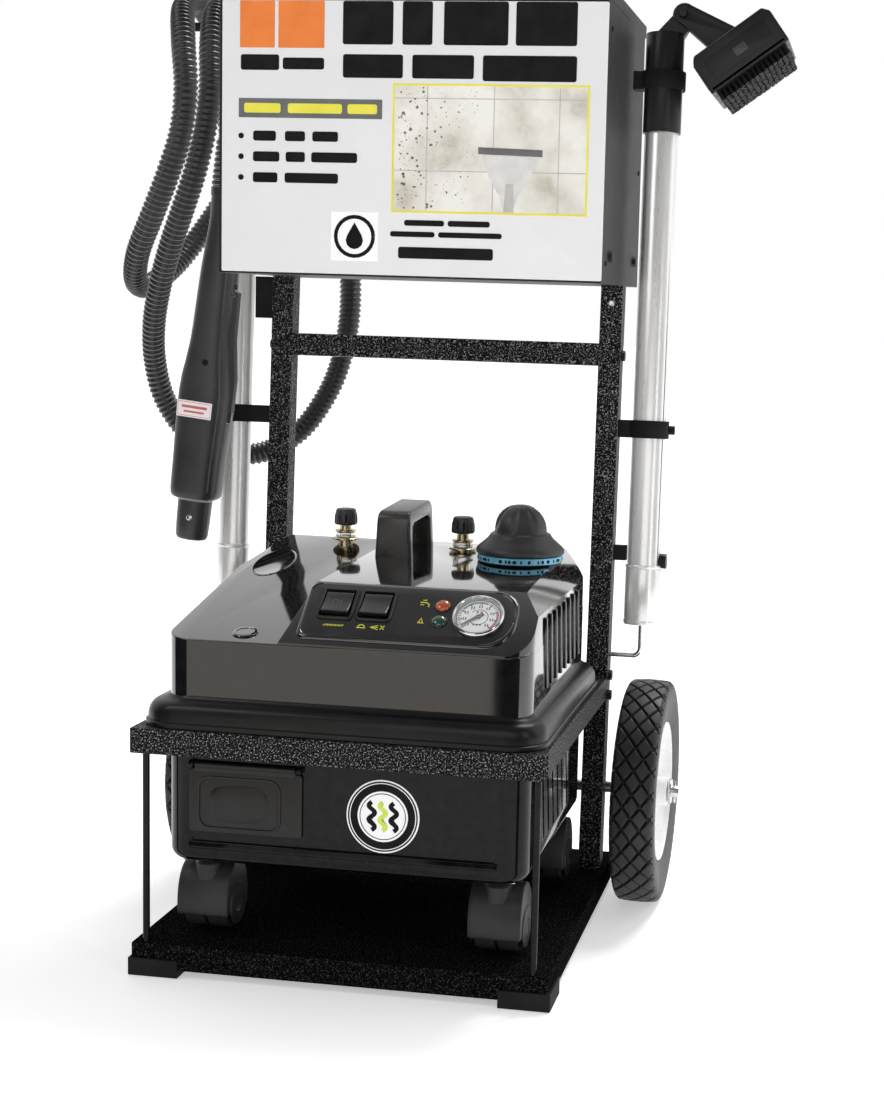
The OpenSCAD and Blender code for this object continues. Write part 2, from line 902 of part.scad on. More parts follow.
// ribbed safety cap
module boiler_cap() {
    ribs = 6;
    low = neck_top + gap;
    color(dark_plastic) place() translate([cap_at[0], cap_at[1], low]) difference() {
        union() {
            cylinder(d = cap_d, h = 6);
            translate([0, 0, 6]) cylinder(r1 = cap_d / 2, r2 = 31, h = 14);
            translate([0, 0, 20]) cylinder(r = 28, h = 22);
            translate([0, 0, 42]) cylinder(r1 = 28, r2 = 19, h = 10);
            for (i = [0 : ribs - 1]) {
                rotate([0, 0, i * 360 / ribs]) translate([0, -5, 18]) cube([30, 10, 24]);
            }
        }
        translate([0, 0, -1]) cylinder(r = 28 + gap, h = 10);
        translate([0, 0, 8]) cylinder(r = 24, h = 20);
    }
}

// ---------------------------------------------------------------- steam socket and flap

module steam_socket() {
    color(brass) place() translate([socket_at[0], body_front, socket_at[1]]) rotate([-90, 0, 0])
        difference() {
        union() {
            translate([0, 0, 0.5]) cylinder(r = 18.8, h = 28);
            translate([0, 0, 20]) cylinder(r = 10, h = 25);
        }
        translate([0, 0, -1]) cylinder(r = 12, h = 18);
        translate([0, 0, -1]) cylinder(r = 5, h = 60);
    }
}

flap_t = 3;
flap_axis_z = flap_z1 + 3;
flap_axis_y = body_front - 4;

// fixed ears that carry the flap's pins, on the front wall
module flap_ear(x) {
    w = 5;
    difference() {
        union() {
            translate([x, flap_axis_y, flap_axis_z]) rotate([0, 90, 0]) cylinder(r = 3.6, h = w);
            block([x, flap_axis_y, flap_axis_z - 3], [x + w, body_front + 1, flap_axis_z + 3]);
        }
        translate([x - 1, flap_axis_y, flap_axis_z]) rotate([0, 90, 0]) cylinder(r = 1.5 + fit, h = w + 2);
    }
}

module socket_flap() {
    color(gloss_black) place() {
        difference() {
            block([flap_x0, body_front - 3.4, flap_z0], [flap_x1, body_front - 0.4, flap_z1 - 1.5]);
            translate([0, body_front - 2.6, 0]) rotate([90, 0, 0]) linear_extrude(5)
                difference() {
                    round_rect([flap_x0 + 9, flap_z0 + 2], [flap_x0 + 94, flap_z1 - 9], 12);
                    round_rect([flap_x0 + 11, flap_z0 + 4], [flap_x0 + 92, flap_z1 - 11], 10);
                }
        }
        difference() {
            translate([flap_x0 + 6, flap_axis_y, flap_axis_z]) rotate([0, 90, 0])
                cylinder(r = 2.8, h = flap_x1 - flap_x0 - 12);
            block([flap_x0 - 9, body_front - 0.4, flap_z0], [flap_x1 + 9, body_front + 9, flap_z1 + 20]);
        }
        translate([flap_x0 + 1, flap_axis_y, flap_axis_z]) rotate([0, 90, 0])
            cylinder(r = 1.5, h = flap_x1 - flap_x0 - 2);
        block([flap_x0 + 6, flap_axis_y - 1, flap_z1 - 4], [flap_x1 - 6, flap_axis_y + 1, flap_axis_z]);
    }
}

// ---------------------------------------------------------------- inside the steamer

boiler_r = 70;

module boiler() {
    color(steel) place() translate([cap_at[0], cap_at[1], 0]) difference() {
        union() {
            translate([-boiler_r - 40, 0, 250]) rotate([0, 90, 0])
                cylinder(r = boiler_r, h = boiler_r * 2 + 20);
            translate([0, 0, 300]) cylinder(r = 24, h = deck_h - 34 - 300);
        }
        translate([-boiler_r - 37, 0, 250]) rotate([0, 90, 0])
            cylinder(r = boiler_r - 2, h = boiler_r * 2 + 14);
        translate([0, 0, 300]) cylinder(r = 20, h = 100);
    }
}

// immersion heater through the left end of the boiler
module heating_element() {
    x0 = cap_at[0] - boiler_r - 40;
    color(brass) place() translate([x0, cap_at[1], 215]) {
        rotate([0, -90, 0]) cylinder(r = 20, h = 12, $fn = 6);
        for (z = [-8, 8]) {
            translate([0, 0, z]) rotate([0, -90, 0]) translate([0, 0, 11]) cylinder(r = 3, h = 14);
        }
    }
}

// solenoid valve on the pipe behind the steam socket
module solenoid_valve() {
    color(brass) place() translate([socket_at[0], body_front + 45, socket_at[1]]) {
        rotate([-90, 0, 0]) cylinder(r = 8, h = 40);
        block([-16, 8, -12], [16, 36, 12]);
        translate([0, 22, 12]) cylinder(r = 14, h = 36);
    }
}

module cord_gland() {
    color(dark_plastic) place() translate([120, body_back, 180]) rotate([-90, 0, 0]) difference() {
        union() {
            translate([0, 0, -8]) cylinder(r = 10.2, h = 10);
            cylinder(r = 14, h = 5, $fn = 6);
            translate([0, 0, 4]) cylinder(r1 = 10, r2 = 7, h = 12);
        }
        translate([0, 0, -9]) cylinder(r = 4.5, h = 30);
    }
}

// ---------------------------------------------------------------- casters

function caster_pos(i) = [body_x + (i % 2 == 0 ? -caster_x : caster_x), caster_rows[i < 2 ? 0 : 1]];

// hood that swivels on its stem, over the wheel that trails behind it
module caster_hood(i) {
    at = caster_pos(i);
    r = caster_d / 2 + 4;
    w = 52;
    color(dark_plastic) place() translate([at[0], at[1], 0]) {
        difference() {
            translate([0, caster_trail, caster_axle_z]) rotate([0, 90, 0]) translate([0, 0, -w / 2])
                cylinder(r = r, h = w);
            translate([0, caster_trail, caster_axle_z]) rotate([0, 90, 0]) translate([0, 0, -w / 2 + 3])
                cylinder(r = caster_d / 2 + 1.5, h = w - 6);
            block([-w, -2 * r, 0], [w, 3 * r, caster_axle_z - 9]);
            translate([0, caster_trail, caster_axle_z]) rotate([0, 90, 0]) translate([0, 0, -w])
                cylinder(r = 3 + fit, h = 2 * w);
        }
        difference() {
            translate([0, 0, caster_axle_z + 20]) cylinder(r = 12, h = shell_low - caster_axle_z - 21);
            translate([0, caster_trail, caster_axle_z]) rotate([0, 90, 0]) translate([0, 0, -w / 2])
                cylinder(r = r - 1, h = w);
        }
        translate([0, 0, shell_low - 3]) cylinder(r = stem_r, h = 19);
    }
}

module caster_wheel(i) {
    at = caster_pos(i);
    w = 44;
    color(rubber_black) place() translate([at[0], at[1] + caster_trail, caster_axle_z]) rotate([0, 90, 0]) {
        translate([0, 0, -w / 2]) cylinder(d = caster_d, h = w);
        translate([0, 0, -26]) cylinder(r = 3, h = 52);
    }
}

module caster_1_hood() {
    caster_hood(0);
}

module caster_1_wheel() {
    caster_wheel(0);
}

module caster_2_hood() {
    caster_hood(1);
}

module caster_2_wheel() {
    caster_wheel(1);
}

module caster_3_hood() {
    caster_hood(2);
}

module caster_3_wheel() {
    caster_wheel(2);
}

module caster_4_hood() {
    caster_hood(3);
}

module caster_4_wheel() {
    caster_wheel(3);
}

// ---------------------------------------------------------------- wands and brush

module wand_tube(d, z1) {
    h = (z1 - wand_bottom) / cos(lean);
    difference() {
        union() {
            cylinder(d = d, h = h);
            cylinder(r = d / 2 + sleeve_t, h = 64);
        }
        translate([0, 0, -1]) cylinder(d = d - 4, h = h + 2);
    }
}

module left_wand_tube() {
    color(alu) place() wand_frame(left_wand_x, wand_bottom) wand_tube(left_wand_d, left_wand_top);
}

button_r = 8.5;
button_s = 73;             // height of the lock button along the tube

// axes of the lock button: z points out of the tube's outer side
module button_frame() {
    wand_frame(wand_x, wand_bottom) translate([0, 0, button_s]) rotate([0, 90, 0]) children();
}

module right_wand_tube() {
    color(alu) place() difference() {
        wand_frame(wand_x, wand_bottom) wand_tube(wand_d, right_wand_top);
        button_frame() cylinder(r = button_r + fit, h = wand_d);
    }
}

// sprung lock button in the side of the right tube
module wand_button() {
    color(dark_plastic) place() button_frame() translate([0, 0, wand_d / 2 - 4])
        cylinder(r = button_r, h = 11);
}

// black socket at the top of the right wand, with the lug that the brush head turns on
module wand_neck() {
    low = 872;
    lug = 7;
    length = (neck_top_z - low) / cos(lean);
    pivot_y = wand_y(head_pivot[1]);
    color(dark_plastic) place() {
        difference() {
            wand_frame(wand_x, low) cylinder(r = neck_r, h = length);
            wand_frame(wand_x, low) translate([0, 0, -1])
                cylinder(d = wand_d + 0.1, h = (right_wand_top - low) / cos(lean) + 1);
        }
        along_y(pivot_y - lug, pivot_y + lug) {
            translate(head_pivot) circle(13);
            polygon([
                [wand_x - neck_r + 3, neck_top_z - 8], [wand_x + neck_r - 3, neck_top_z - 8],
                [head_pivot[0] + 12, head_pivot[1] - 5], [head_pivot[0], head_pivot[1] + 13]]);
        }
        translate([head_pivot[0], pivot_y - 20, head_pivot[1]]) rotate([-90, 0, 0]) cylinder(r = 4, h = 40);
    }
}

// axes of the brush head: x runs along it, z stands up from its bristle side
module head_frame() {
    translate([head_low_corner[0], wand_y(head_pivot[1]), head_low_corner[1]])
        rotate([0, -head_angle, 0]) children();
}

module brush_head() {
    half = head_depth / 2;
    arm_in = 7.5;
    arm_out = 16;
    pivot_y = wand_y(head_pivot[1]);
    color(dark_plastic) place() {
        head_frame() translate([0, -half, bristle_t]) cube([head_l, head_depth, head_t]);
        difference() {
            for (side = [-1, 1]) {
                along_y(pivot_y + min(side * arm_in, side * arm_out),
                    pivot_y + max(side * arm_in, side * arm_out)) {
                    translate(head_pivot) circle(11);
                    polygon([
                        head_pivot - [2, 10.5], head_low_corner + [2, 72], head_low_corner + [40, 78],
                        head_pivot + [5, 9.5]]);
                }
            }
            translate([head_pivot[0], pivot_y - 30, head_pivot[1]]) rotate([-90, 0, 0])
                cylinder(r = 4 + fit, h = 60);
        }
    }
}

module brush_bristles() {
    half = head_depth / 2;
    color(rubber_black) place() head_frame()
        translate([5, -half + 5, 0]) cube([head_l - 10, head_depth - 10, bristle_t]);
}

// ---------------------------------------------------------------- handset

// axes of the handset: z runs up along it from its nozzle
module handset_frame() {
    rise = handset_high - handset_low;
    translate(handset_low) rotate([0, atan2(rise[0], rise[2]), 0]) children();
}

trigger_pivot = [21, 0, 285];

module handset_shell() {
    color(dark_plastic) place() handset_frame() difference() {
        union() {
            // nozzle, body, neck and hose cuff
            cylinder(r = 17, h = 52);
            along_y(-26, 26) polygon([
                [-19, 46], [19, 46], [25, 60], [27, 110], [30, 150], [29, 185], [22, 230], [21, 300],
                [17, 360],
                [-17, 360], [-21, 300], [-24, 235], [-30, 190], [-30, 150], [-28, 90], [-25, 60]]);
            translate([0, 0, 355]) cylinder(r = 18, h = 45);
        }
        // slot for the trigger, open at the inner side
        along_y(-5.5, 5.5) polygon([
            [8, 140], [40, 140], [40, 296], [13, 296], [13, 270]]);
        translate([trigger_pivot[0], 0, trigger_pivot[2]]) rotate([90, 0, 0])
            cylinder(r = 2 + fit, h = 60, center = true);
        translate([0, 0, -1]) cylinder(r = 6, h = 30);
        translate([0, 0, 385]) cylinder(r = hose_d / 2, h = 20);
    }
}

module handset_trigger() {
    color(dark_plastic) place() handset_frame() {
        along_y(-5, 5) polygon([
            [23, 150], [33, 152], [33, 190], [27, 235], [26, 288], [20, 291], [17, 285], [19, 270],
            [21, 230], [26, 190]]);
        translate([trigger_pivot[0], 0, trigger_pivot[2]]) rotate([90, 0, 0])
            cylinder(r = 2, h = 20, center = true);
    }
}

// ---------------------------------------------------------------- hose

// hand-laid route of the hose: up from the handset, over the hook, down behind the box,
// round the long loop, over the hook, round the short loop, over the hook and down to the plug
hose_route = [
    [-238, 118, 795], [-236, 118, 850], [-232, 118, 900], [-227, 118, 945], [-225, 130, 989],
    [-226, 160, 1025], [-227, 205, 1046], [-227, 250, 1045], [-226, 297, 1021], [-220, 326, 980],
    [-210, 335, 925], [-194, 333, 868], [-176, 326, 812], [-160, 315, 755], [-150, 302, 698],
    [-148, 287, 640], [-157, 268, 583], [-178, 252, 537], [-203, 244, 509], [-240, 235, 489],
    [-284, 224, 489], [-322, 210, 512], [-344, 192, 552], [-348, 172, 598], [-338, 146, 643],
    [-320, 121, 687], [-299, 99, 729], [-277, 81, 770], [-258, 70, 812], [-245, 65, 856],
    [-239, 66, 902], [-244, 81, 950], [-253, 118, 989], [-256, 170, 1003], [-258, 224, 988],
    [-262, 263, 949], [-267, 280, 900], [-277, 280, 850], [-297, 275, 803], [-322, 264, 758],
    [-345, 240, 717], [-357, 200, 692], [-356, 155, 684], [-346, 112, 694], [-327, 76, 722],
    [-302, 55, 761], [-278, 42, 806], [-260, 34, 850], [-254, 33, 897], [-263, 48, 947],
    [-279, 89, 988], [-286, 144, 1003], [-287, 198, 986], [-289, 237, 947], [-289, 249, 897],
    [-283, 248, 845], [-274, 246, 800], [-266, 245, 765]];
hose_sides = 8;

function unit(v) = v / norm(v);
function tangent(p, i) = unit(p[min(i + 1, len(p) - 1)] - p[max(i - 1, 0)]);
// carries the ring's first direction along the route without twist
function carried(n, t) = unit(n - (n * t) * t);
function frames(p, i, n) = i >= len(p) ? [] :
    let (m = carried(n, tangent(p, i))) concat([m], frames(p, i + 1, m));
function hose_ring(p, i, n, r) = let (t = tangent(p, i), b = cross(t, n))
    [for (k = [0 : hose_sides - 1])
        p[i] + r * (cos(k * 360 / hose_sides) * n + sin(k * 360 / hose_sides) * b)];

module sweep(p, r) {
    n = frames(p, 0, [1, 0, 0]);
    count = len(p);
    points = [for (i = [0 : count - 1]) each hose_ring(p, i, n[i], r)];
    walls = [for (i = [0 : count - 2]) for (k = [0 : hose_sides - 1])
        let (a = i * hose_sides + k, b = i * hose_sides + (k + 1) % hose_sides)
        each [[a, a + hose_sides, b + hose_sides], [a, b + hose_sides, b]]];
    first = [for (k = [0 : hose_sides - 1]) k];
    last = [for (k = [hose_sides - 1 : -1 : 0]) (count - 1) * hose_sides + k];
    polyhedron(points, concat([first], walls, [last]));
}

module hose() {
    color(rubber_black) place() sweep(hose_route, hose_d / 2);
}

// bayonet plug on the free end of the hose
module steam_plug() {
    end = hose_route[len(hose_route) - 1];
    way = unit(end - hose_route[len(hose_route) - 2]);
    color(dark_plastic) place() translate(end)
        rotate([0, acos(way[2]), atan2(way[1], way[0])]) {
            cylinder(r = 17, h = 34);
            translate([0, 0, 34]) cylinder(r = 11, h = 20);
            translate([0, 0, 46]) rotate([90, 0, 0]) cylinder(r = 2.5, h = 30, center = true);
        }
}

base_tray();
front_feet();
front_rail();
side_rails();
rail_rods();
uprights();
cross_bars();
push_handle();
axle();
box_shell();
sign_panel();
lid_hinge_pin();
box_lid();
wand_clips();
wand_hooks();
hose_hook();
frame_bolts();
left_tyre();
left_rim();
right_tyre();
right_rim();
lower_shell();
top_cover();
control_panel();
carry_handle();
gauge_case();
gauge_lens();
gauge_needle();
indicator_lamps();
power_switch();
steam_switch();
valve_bodies();
left_valve_knob();
right_valve_knob();
filler_neck();
boiler_cap();
steam_socket();
socket_flap();
boiler();
heating_element();
solenoid_valve();
cord_gland();
caster_1_hood();
caster_1_wheel();
caster_2_hood();
caster_2_wheel();
caster_3_hood();
caster_3_wheel();
caster_4_hood();
caster_4_wheel();
left_wand_tube();
right_wand_tube();
wand_button();
wand_neck();
brush_head();
brush_bristles();
handset_shell();
handset_trigger();
hose();
steam_plug();
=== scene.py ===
"""Looks of the steam cleaner in its cart: materials, detailed pieces, light and camera."""

import random
from contextlib import contextmanager
from math import atan2, copysign, cos, degrees, pi, radians, sin, tan

import bmesh
import bpy
from mathutils import Matrix, Vector


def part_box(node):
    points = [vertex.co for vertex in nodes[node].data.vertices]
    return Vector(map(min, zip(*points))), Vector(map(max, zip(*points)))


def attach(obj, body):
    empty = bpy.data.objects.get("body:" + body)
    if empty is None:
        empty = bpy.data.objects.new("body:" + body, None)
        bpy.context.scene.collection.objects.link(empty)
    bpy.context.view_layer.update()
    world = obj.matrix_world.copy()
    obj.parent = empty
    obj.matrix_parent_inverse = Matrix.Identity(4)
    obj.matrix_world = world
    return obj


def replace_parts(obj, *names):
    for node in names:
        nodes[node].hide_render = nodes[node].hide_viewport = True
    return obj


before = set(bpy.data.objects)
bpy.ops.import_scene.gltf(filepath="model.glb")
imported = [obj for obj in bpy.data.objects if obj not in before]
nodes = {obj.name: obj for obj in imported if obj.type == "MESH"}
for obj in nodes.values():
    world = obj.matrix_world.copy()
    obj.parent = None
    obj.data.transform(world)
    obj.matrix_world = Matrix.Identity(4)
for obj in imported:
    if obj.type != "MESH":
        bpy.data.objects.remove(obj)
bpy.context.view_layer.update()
random.seed(7)

# Working axes: millimetres from the middle of the cart's tray, at the floor.
tray_low, tray_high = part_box("base_tray")
MID_X = (tray_low[0] + tray_high[0]) / 2
MID_Y = (tray_low[1] + tray_high[1]) / 2


def at(x, y, z):
    """A point of the working axes, in metres of the row frame."""
    return Vector((MID_X + x / 1000, MID_Y + y / 1000, z / 1000))


def place(x, y, z, rot=None):
    """A matrix that puts a shape made in millimetres at a point of the working axes."""
    m = Matrix.Translation(at(x, y, z))
    if rot is not None:
        m = m @ rot.to_4x4()
    return m @ Matrix.Scale(0.001, 4)


def turn(axis, angle):
    return Matrix.Rotation(radians(angle), 3, axis)


def add(name, data):
    """A new object in the scene."""
    obj = bpy.data.objects.new(name, data)
    bpy.context.collection.objects.link(obj)
    return obj


# ---------------------------------------------------------------- camera

EYE = at(505.8, -1847.9, 676.2)
YAW, PITCH, ROLL = 0.15384, 0.12662, 0.03082
right = Vector((cos(YAW), sin(YAW), 0))
look = Vector((-sin(YAW) * cos(PITCH), cos(YAW) * cos(PITCH), -sin(PITCH)))
up = right.cross(look)
right, up = cos(ROLL) * right + sin(ROLL) * up, cos(ROLL) * up - sin(ROLL) * right
lens = bpy.data.cameras.new("view")
lens.lens = 58.6
lens.sensor_width = 36
lens.shift_x = -0.1455
lens.shift_y = -0.0142
lens.clip_start = 0.05
camera = add("view", lens)
camera.matrix_world = Matrix((right, up, -look)).transposed().to_4x4()
camera.matrix_world.translation = EYE
bpy.context.scene.camera = camera


# ---------------------------------------------------------------- materials

def shader(m):
    return m.node_tree.nodes["Principled BSDF"]


def rgb(color):
    """A colour given as three values, or as one for a grey."""
    return color if isinstance(color, tuple) else (color, color, color)


def material(name, color, rough, metal=0.0, coat=0.0, alpha=1.0, specular=0.5):
    m = bpy.data.materials.new(name)
    m.use_nodes = True
    for socket, value in (("Base Color", (*rgb(color), 1)), ("Roughness", rough), ("Metallic", metal),
                          ("Coat Weight", coat), ("Coat Roughness", 0.06), ("Alpha", alpha),
                          ("Specular IOR Level", specular)):
        shader(m).inputs[socket].default_value = value
    return m


def node(m, kind, **values):
    n = m.node_tree.nodes.new(kind)
    for k, v in values.items():
        if k in n.inputs:
            n.inputs[k].default_value = v
        else:
            setattr(n, k, v)
    return n


def join(m, a, b):
    m.node_tree.links.new(a, b)


def coords(m, stretch=(1, 1, 1)):
    c = node(m, "ShaderNodeTexCoord")
    mp = node(m, "ShaderNodeMapping")
    mp.inputs["Scale"].default_value = stretch
    join(m, c.outputs["Object"], mp.inputs["Vector"])
    return mp.outputs["Vector"]


def noise(m, scale, detail=3.0, stretch=(1, 1, 1), rough=0.55):
    n = node(m, "ShaderNodeTexNoise", Scale=scale, Detail=detail, Roughness=rough)
    join(m, coords(m, stretch), n.inputs["Vector"])
    return n.outputs["Fac"]


def ramp(m, fac, stops):
    r = node(m, "ShaderNodeValToRGB")
    ends = r.color_ramp.elements
    ends[0].position, ends[1].position = stops[0][0], stops[-1][0]
    ends[0].color, ends[1].color = (*rgb(stops[0][1]), 1), (*rgb(stops[-1][1]), 1)
    for position, color in stops[1:-1]:
        ends.new(position).color = (*rgb(color), 1)
    join(m, fac, r.inputs["Fac"])
    return r.outputs["Color"]


def vary_color(m, fac, stops):
    join(m, ramp(m, fac, stops), shader(m).inputs["Base Color"])


def vary_rough(m, fac, low, high):
    r = node(m, "ShaderNodeMapRange", **{"To Min": low, "To Max": high})
    join(m, fac, r.inputs["Value"])
    join(m, r.outputs["Result"], shader(m).inputs["Roughness"])


def bump(m, fac, strength, distance=0.0005):
    b = node(m, "ShaderNodeBump", Strength=strength, Distance=distance)
    join(m, fac, b.inputs["Height"])
    join(m, b.outputs["Normal"], shader(m).inputs["Normal"])


def powder_coat(name, painted_glint, specular):
    """Black hammertone powder coat; its fine light flecks are painted glints, bright colour standing in for the light
    its grain catches.
    """
    m = material(name, 0.01, 0.5, specular=specular)
    fine = noise(m, 640, 1.5)
    # painted glints: the brightest spots of the fine noise lighten the colour
    vary_color(m, fine, [(0.0, 0.002), (0.54, 0.004), (0.60, painted_glint * 0.3), (0.68, painted_glint)])
    vary_rough(m, fine, 0.65, 0.25)
    v = node(m, "ShaderNodeTexVoronoi", Scale=420.0, feature="F1")
    join(m, coords(m), v.inputs["Vector"])
    bump(m, v.outputs["Distance"], 0.5, 0.0009)
    return m


def gloss_black(name, coat, specular):
    """High-gloss moulded shell with a faint ripple and a little dust."""
    m = material(name, (0.006, 0.006, 0.007), 0.07, coat=coat, specular=specular)
    vary_color(m, noise(m, 90, 6), [(0.35, 0.003), (0.75, 0.009)])
    vary_rough(m, noise(m, 14, 5), 0.035, 0.11)
    bump(m, noise(m, 9, 1.5), 0.08, 0.003)
    return m


def grained(name, dark, light, rough, grain=900, strength=0.18, spread=0.1, specular=0.5):
    """Moulded plastic or rubber with a fine grain and slow variation of colour and sheen."""
    m = material(name, dark, rough, specular=specular)
    vary_color(m, noise(m, 30, 5), [(0.3, dark), (0.7, light)])
    vary_rough(m, noise(m, 60, 4), rough - spread, rough + spread)
    bump(m, noise(m, grain, 2), strength, 0.0004)
    return m


def brushed(name, dark, light, rough, stretch, scale=60, strength=0.06, metal=1.0):
    """Metal with streaks along one direction."""
    m = material(name, light, rough, metal=metal)
    streak = noise(m, scale, 5, stretch, 0.65)
    vary_color(m, streak, [(0.25, dark), (0.75, light)])
    vary_rough(m, streak, rough - 0.08, rough + 0.1)
    bump(m, streak, strength, 0.0003)
    return m


def painted(name, dark, light, rough, coat=0.0, scale=25, strength=0.05, specular=0.5):
    """Paint or print: an even colour with slow stains and a fine tooth."""
    m = material(name, light, rough, coat=coat, specular=specular)
    vary_color(m, noise(m, scale, 6), [(0.3, dark), (0.7, light)])
    vary_rough(m, noise(m, 50, 3), rough - 0.05, rough + 0.08)
    bump(m, noise(m, 300, 2), strength, 0.0003)
    return m


def printed(name, dark, light):
    return painted(name, dark, light, 0.4, 0, 40, 0.02)


POWDER = powder_coat("powder_coat", 0.34, 0.08)
TRAY = powder_coat("powder_tray", 0.05, 0.0)
GLOSS = gloss_black("gloss_shell", 1.0, 0.5)
GLOSS_LOW = gloss_black("gloss_case", 0.0, 0.16)
FLAP = grained("flap_plastic", (0.009, 0.0085, 0.008), (0.014, 0.013, 0.0125), 0.34, 900, 0.05, 0.06, 0.3)
SATIN = grained("satin_skirt", 0.004, 0.008, 0.3, 700, 0.05, 0.06, 0.25)
HOSE = grained("hose_rubber", 0.006, 0.016, 0.33, 500, 0.1)
TOOL = grained("tool_plastic", 0.006, 0.012, 0.36, 1100, 0.12, specular=0.22)
HANDSET = grained("handset_plastic", (0.018, 0.017, 0.018), (0.028, 0.027, 0.028), 0.38, 1300, 0.14, 0.06)
KNOB = grained("knob_plastic", (0.016, 0.016, 0.018), (0.032, 0.032, 0.035), 0.42, 1000, 0.15)
CASTER = grained("caster_plastic", (0.018, 0.017, 0.017), (0.028, 0.027, 0.027), 0.4, 1000, 0.12, specular=0.3)
TREAD = grained("tyre_rubber", (0.008, 0.008, 0.009), (0.022, 0.022, 0.023), 0.52, 700, 0.3)
FOOT = grained("foot_rubber", 0.006, 0.014, 0.7, 500, 0.3, specular=0.15)
PANEL = grained("panel_plastic", (0.008, 0.008, 0.009), (0.014, 0.014, 0.015), 0.3, 1500, 0.1, 0.06)
ROCKER = grained("rocker_plastic", 0.006, 0.012, 0.22, 1500, 0.06, 0.05)
BOX = painted("box_paint", (0.012, 0.012, 0.013), (0.020, 0.020, 0.022), 0.5, specular=0.18)
SIGN = painted("sign_face", 0.72, (0.76, 0.76, 0.765), 0.38, 0.1, 8, 0.02)
RIM = painted("rim_paint", (0.78, 0.78, 0.79), 0.88, 0.26, 0.4, 18, 0.04)
# the wand tube's lengthwise streaks are partly its brushing and partly painted reflection: light and dark bands
# standing in for the studio mirrored round the tube
ALU = brushed("wand_aluminium", (0.78, 0.77, 0.75), (0.99, 0.985, 0.98), 0.28, (1, 1, 0.02), 110, metal=0.45)
STEEL = brushed("bright_steel", (0.45, 0.45, 0.46), (0.72, 0.72, 0.73), 0.25, (0.05, 1, 1))
WIRE = brushed("plated_wire", (0.55, 0.55, 0.56), (0.78, 0.78, 0.79), 0.16, (1, 1, 1), 120, 0.02)
BRASS = brushed("valve_brass", (0.48, 0.40, 0.22), (0.80, 0.72, 0.50), 0.24, (1, 1, 0.2), 90, 0.05)
BLUE = painted("collar_blue", (0.10, 0.38, 0.58), (0.20, 0.55, 0.75), 0.3, 0.2, 120, 0.1)
WHITE = printed("print_white", 0.92, 0.97)
INK = painted("print_black", 0.006, 0.012, 0.5, 0, 40, 0.02, 0.08)
GREY = printed("print_grey", 0.10, 0.14)
ORANGE = printed("print_orange", (0.72, 0.17, 0.02), (0.80, 0.21, 0.03))
YELLOW = printed("print_yellow", (0.72, 0.66, 0.04), (0.80, 0.74, 0.07))
LIME = printed("print_lime", (0.55, 0.72, 0.05), (0.62, 0.80, 0.08))
LABEL = painted("label_pink", (0.80, 0.70, 0.70), (0.88, 0.80, 0.80), 0.45, 0, 60, 0.02)
LABEL_RED = painted("label_red", (0.45, 0.10, 0.10), (0.55, 0.16, 0.15), 0.45, 0, 60, 0.02)
RED = printed("print_red", (0.55, 0.04, 0.03), (0.65, 0.07, 0.05))
GREEN = printed("print_green", (0.05, 0.32, 0.10), (0.08, 0.40, 0.14))
LAMP_RED = painted("lamp_red", (0.32, 0.045, 0.012), (0.48, 0.085, 0.02), 0.15, 0.8, 200, 0.05)
LAMP_GREEN = painted("lamp_green", (0.002, 0.03, 0.014), (0.004, 0.06, 0.028), 0.15, 0.8, 200, 0.05)
CHROME = brushed("chrome_trim", (0.58, 0.58, 0.59), (0.76, 0.76, 0.77), 0.14, (1, 1, 1), 200, 0.02)
HANDLE = grained("handle_plastic", (0.026, 0.024, 0.023), (0.040, 0.037, 0.035), 0.27, 1200, 0.08, 0.05)
TILE = painted("print_tile", (0.62, 0.60, 0.54), (0.80, 0.78, 0.73), 0.42, 0, 14, 0.02)
vary_color(TILE, noise(TILE, 16, 6), [(0.3, (0.46, 0.42, 0.34)), (0.42, (0.66, 0.63, 0.56)),
                                      (0.58, (0.80, 0.78, 0.73))])
GROUT = painted("print_grout", (0.40, 0.39, 0.36), (0.52, 0.50, 0.47), 0.45, 0, 60, 0.02)
DIRT = painted("print_dirt", (0.09, 0.075, 0.05), (0.22, 0.19, 0.14), 0.5, 0, 90, 0.02)
HAZE = painted("print_haze", (0.55, 0.54, 0.51), (0.72, 0.71, 0.69), 0.42, 0, 50, 0.02)
BRISTLE = grained("bristle_nylon", 0.003, 0.009, 0.6, 900, 0.2, specular=0.12)
GLASS = material("gauge_glass", (1, 1, 1), 0.02, alpha=0.12, coat=1.0)
bump(GLASS, noise(GLASS, 40, 1), 0.02, 0.0002)


# ---------------------------------------------------------------- mesh helpers

def shade(obj, angle=35):
    obj.data.shade_smooth()
    obj.data.set_sharp_from_angle(angle=radians(angle))


@contextmanager
def edited(mesh):
    """The mesh opened for editing, and written back."""
    bm = bmesh.new()
    bm.from_mesh(mesh)
    yield bm
    bm.to_mesh(mesh)
    bm.free()


def make(name, verts, faces, mat, body="cart", angle=35):
    """A piece from points in metres of the row frame."""
    mesh = bpy.data.meshes.new(name)
    mesh.from_pydata([tuple(v) for v in verts], [], faces)
    mesh.validate()
    with edited(mesh) as bm:
        bmesh.ops.recalc_face_normals(bm, faces=bm.faces)
    obj = add(name, mesh)
    mesh.materials.append(mat)
    shade(obj, angle)
    if body:
        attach(obj, body)
    return obj


def settle(obj):
    """Bakes the modifiers of a piece into its mesh."""
    graph = bpy.context.evaluated_depsgraph_get()
    mesh = bpy.data.meshes.new_from_object(obj.evaluated_get(graph))
    obj.modifiers.clear()
    obj.data = mesh
    return obj


def bevel(obj, width, segments=3, angle=30, sharp=35):
    b = obj.modifiers.new("edges", "BEVEL")
    b.width = width / 1000
    b.segments = segments
    b.limit_method = "ANGLE"
    b.angle_limit = radians(angle)
    b.harden_normals = False
    b.use_clamp_overlap = True
    settle(obj)
    shade(obj, sharp)
    return obj


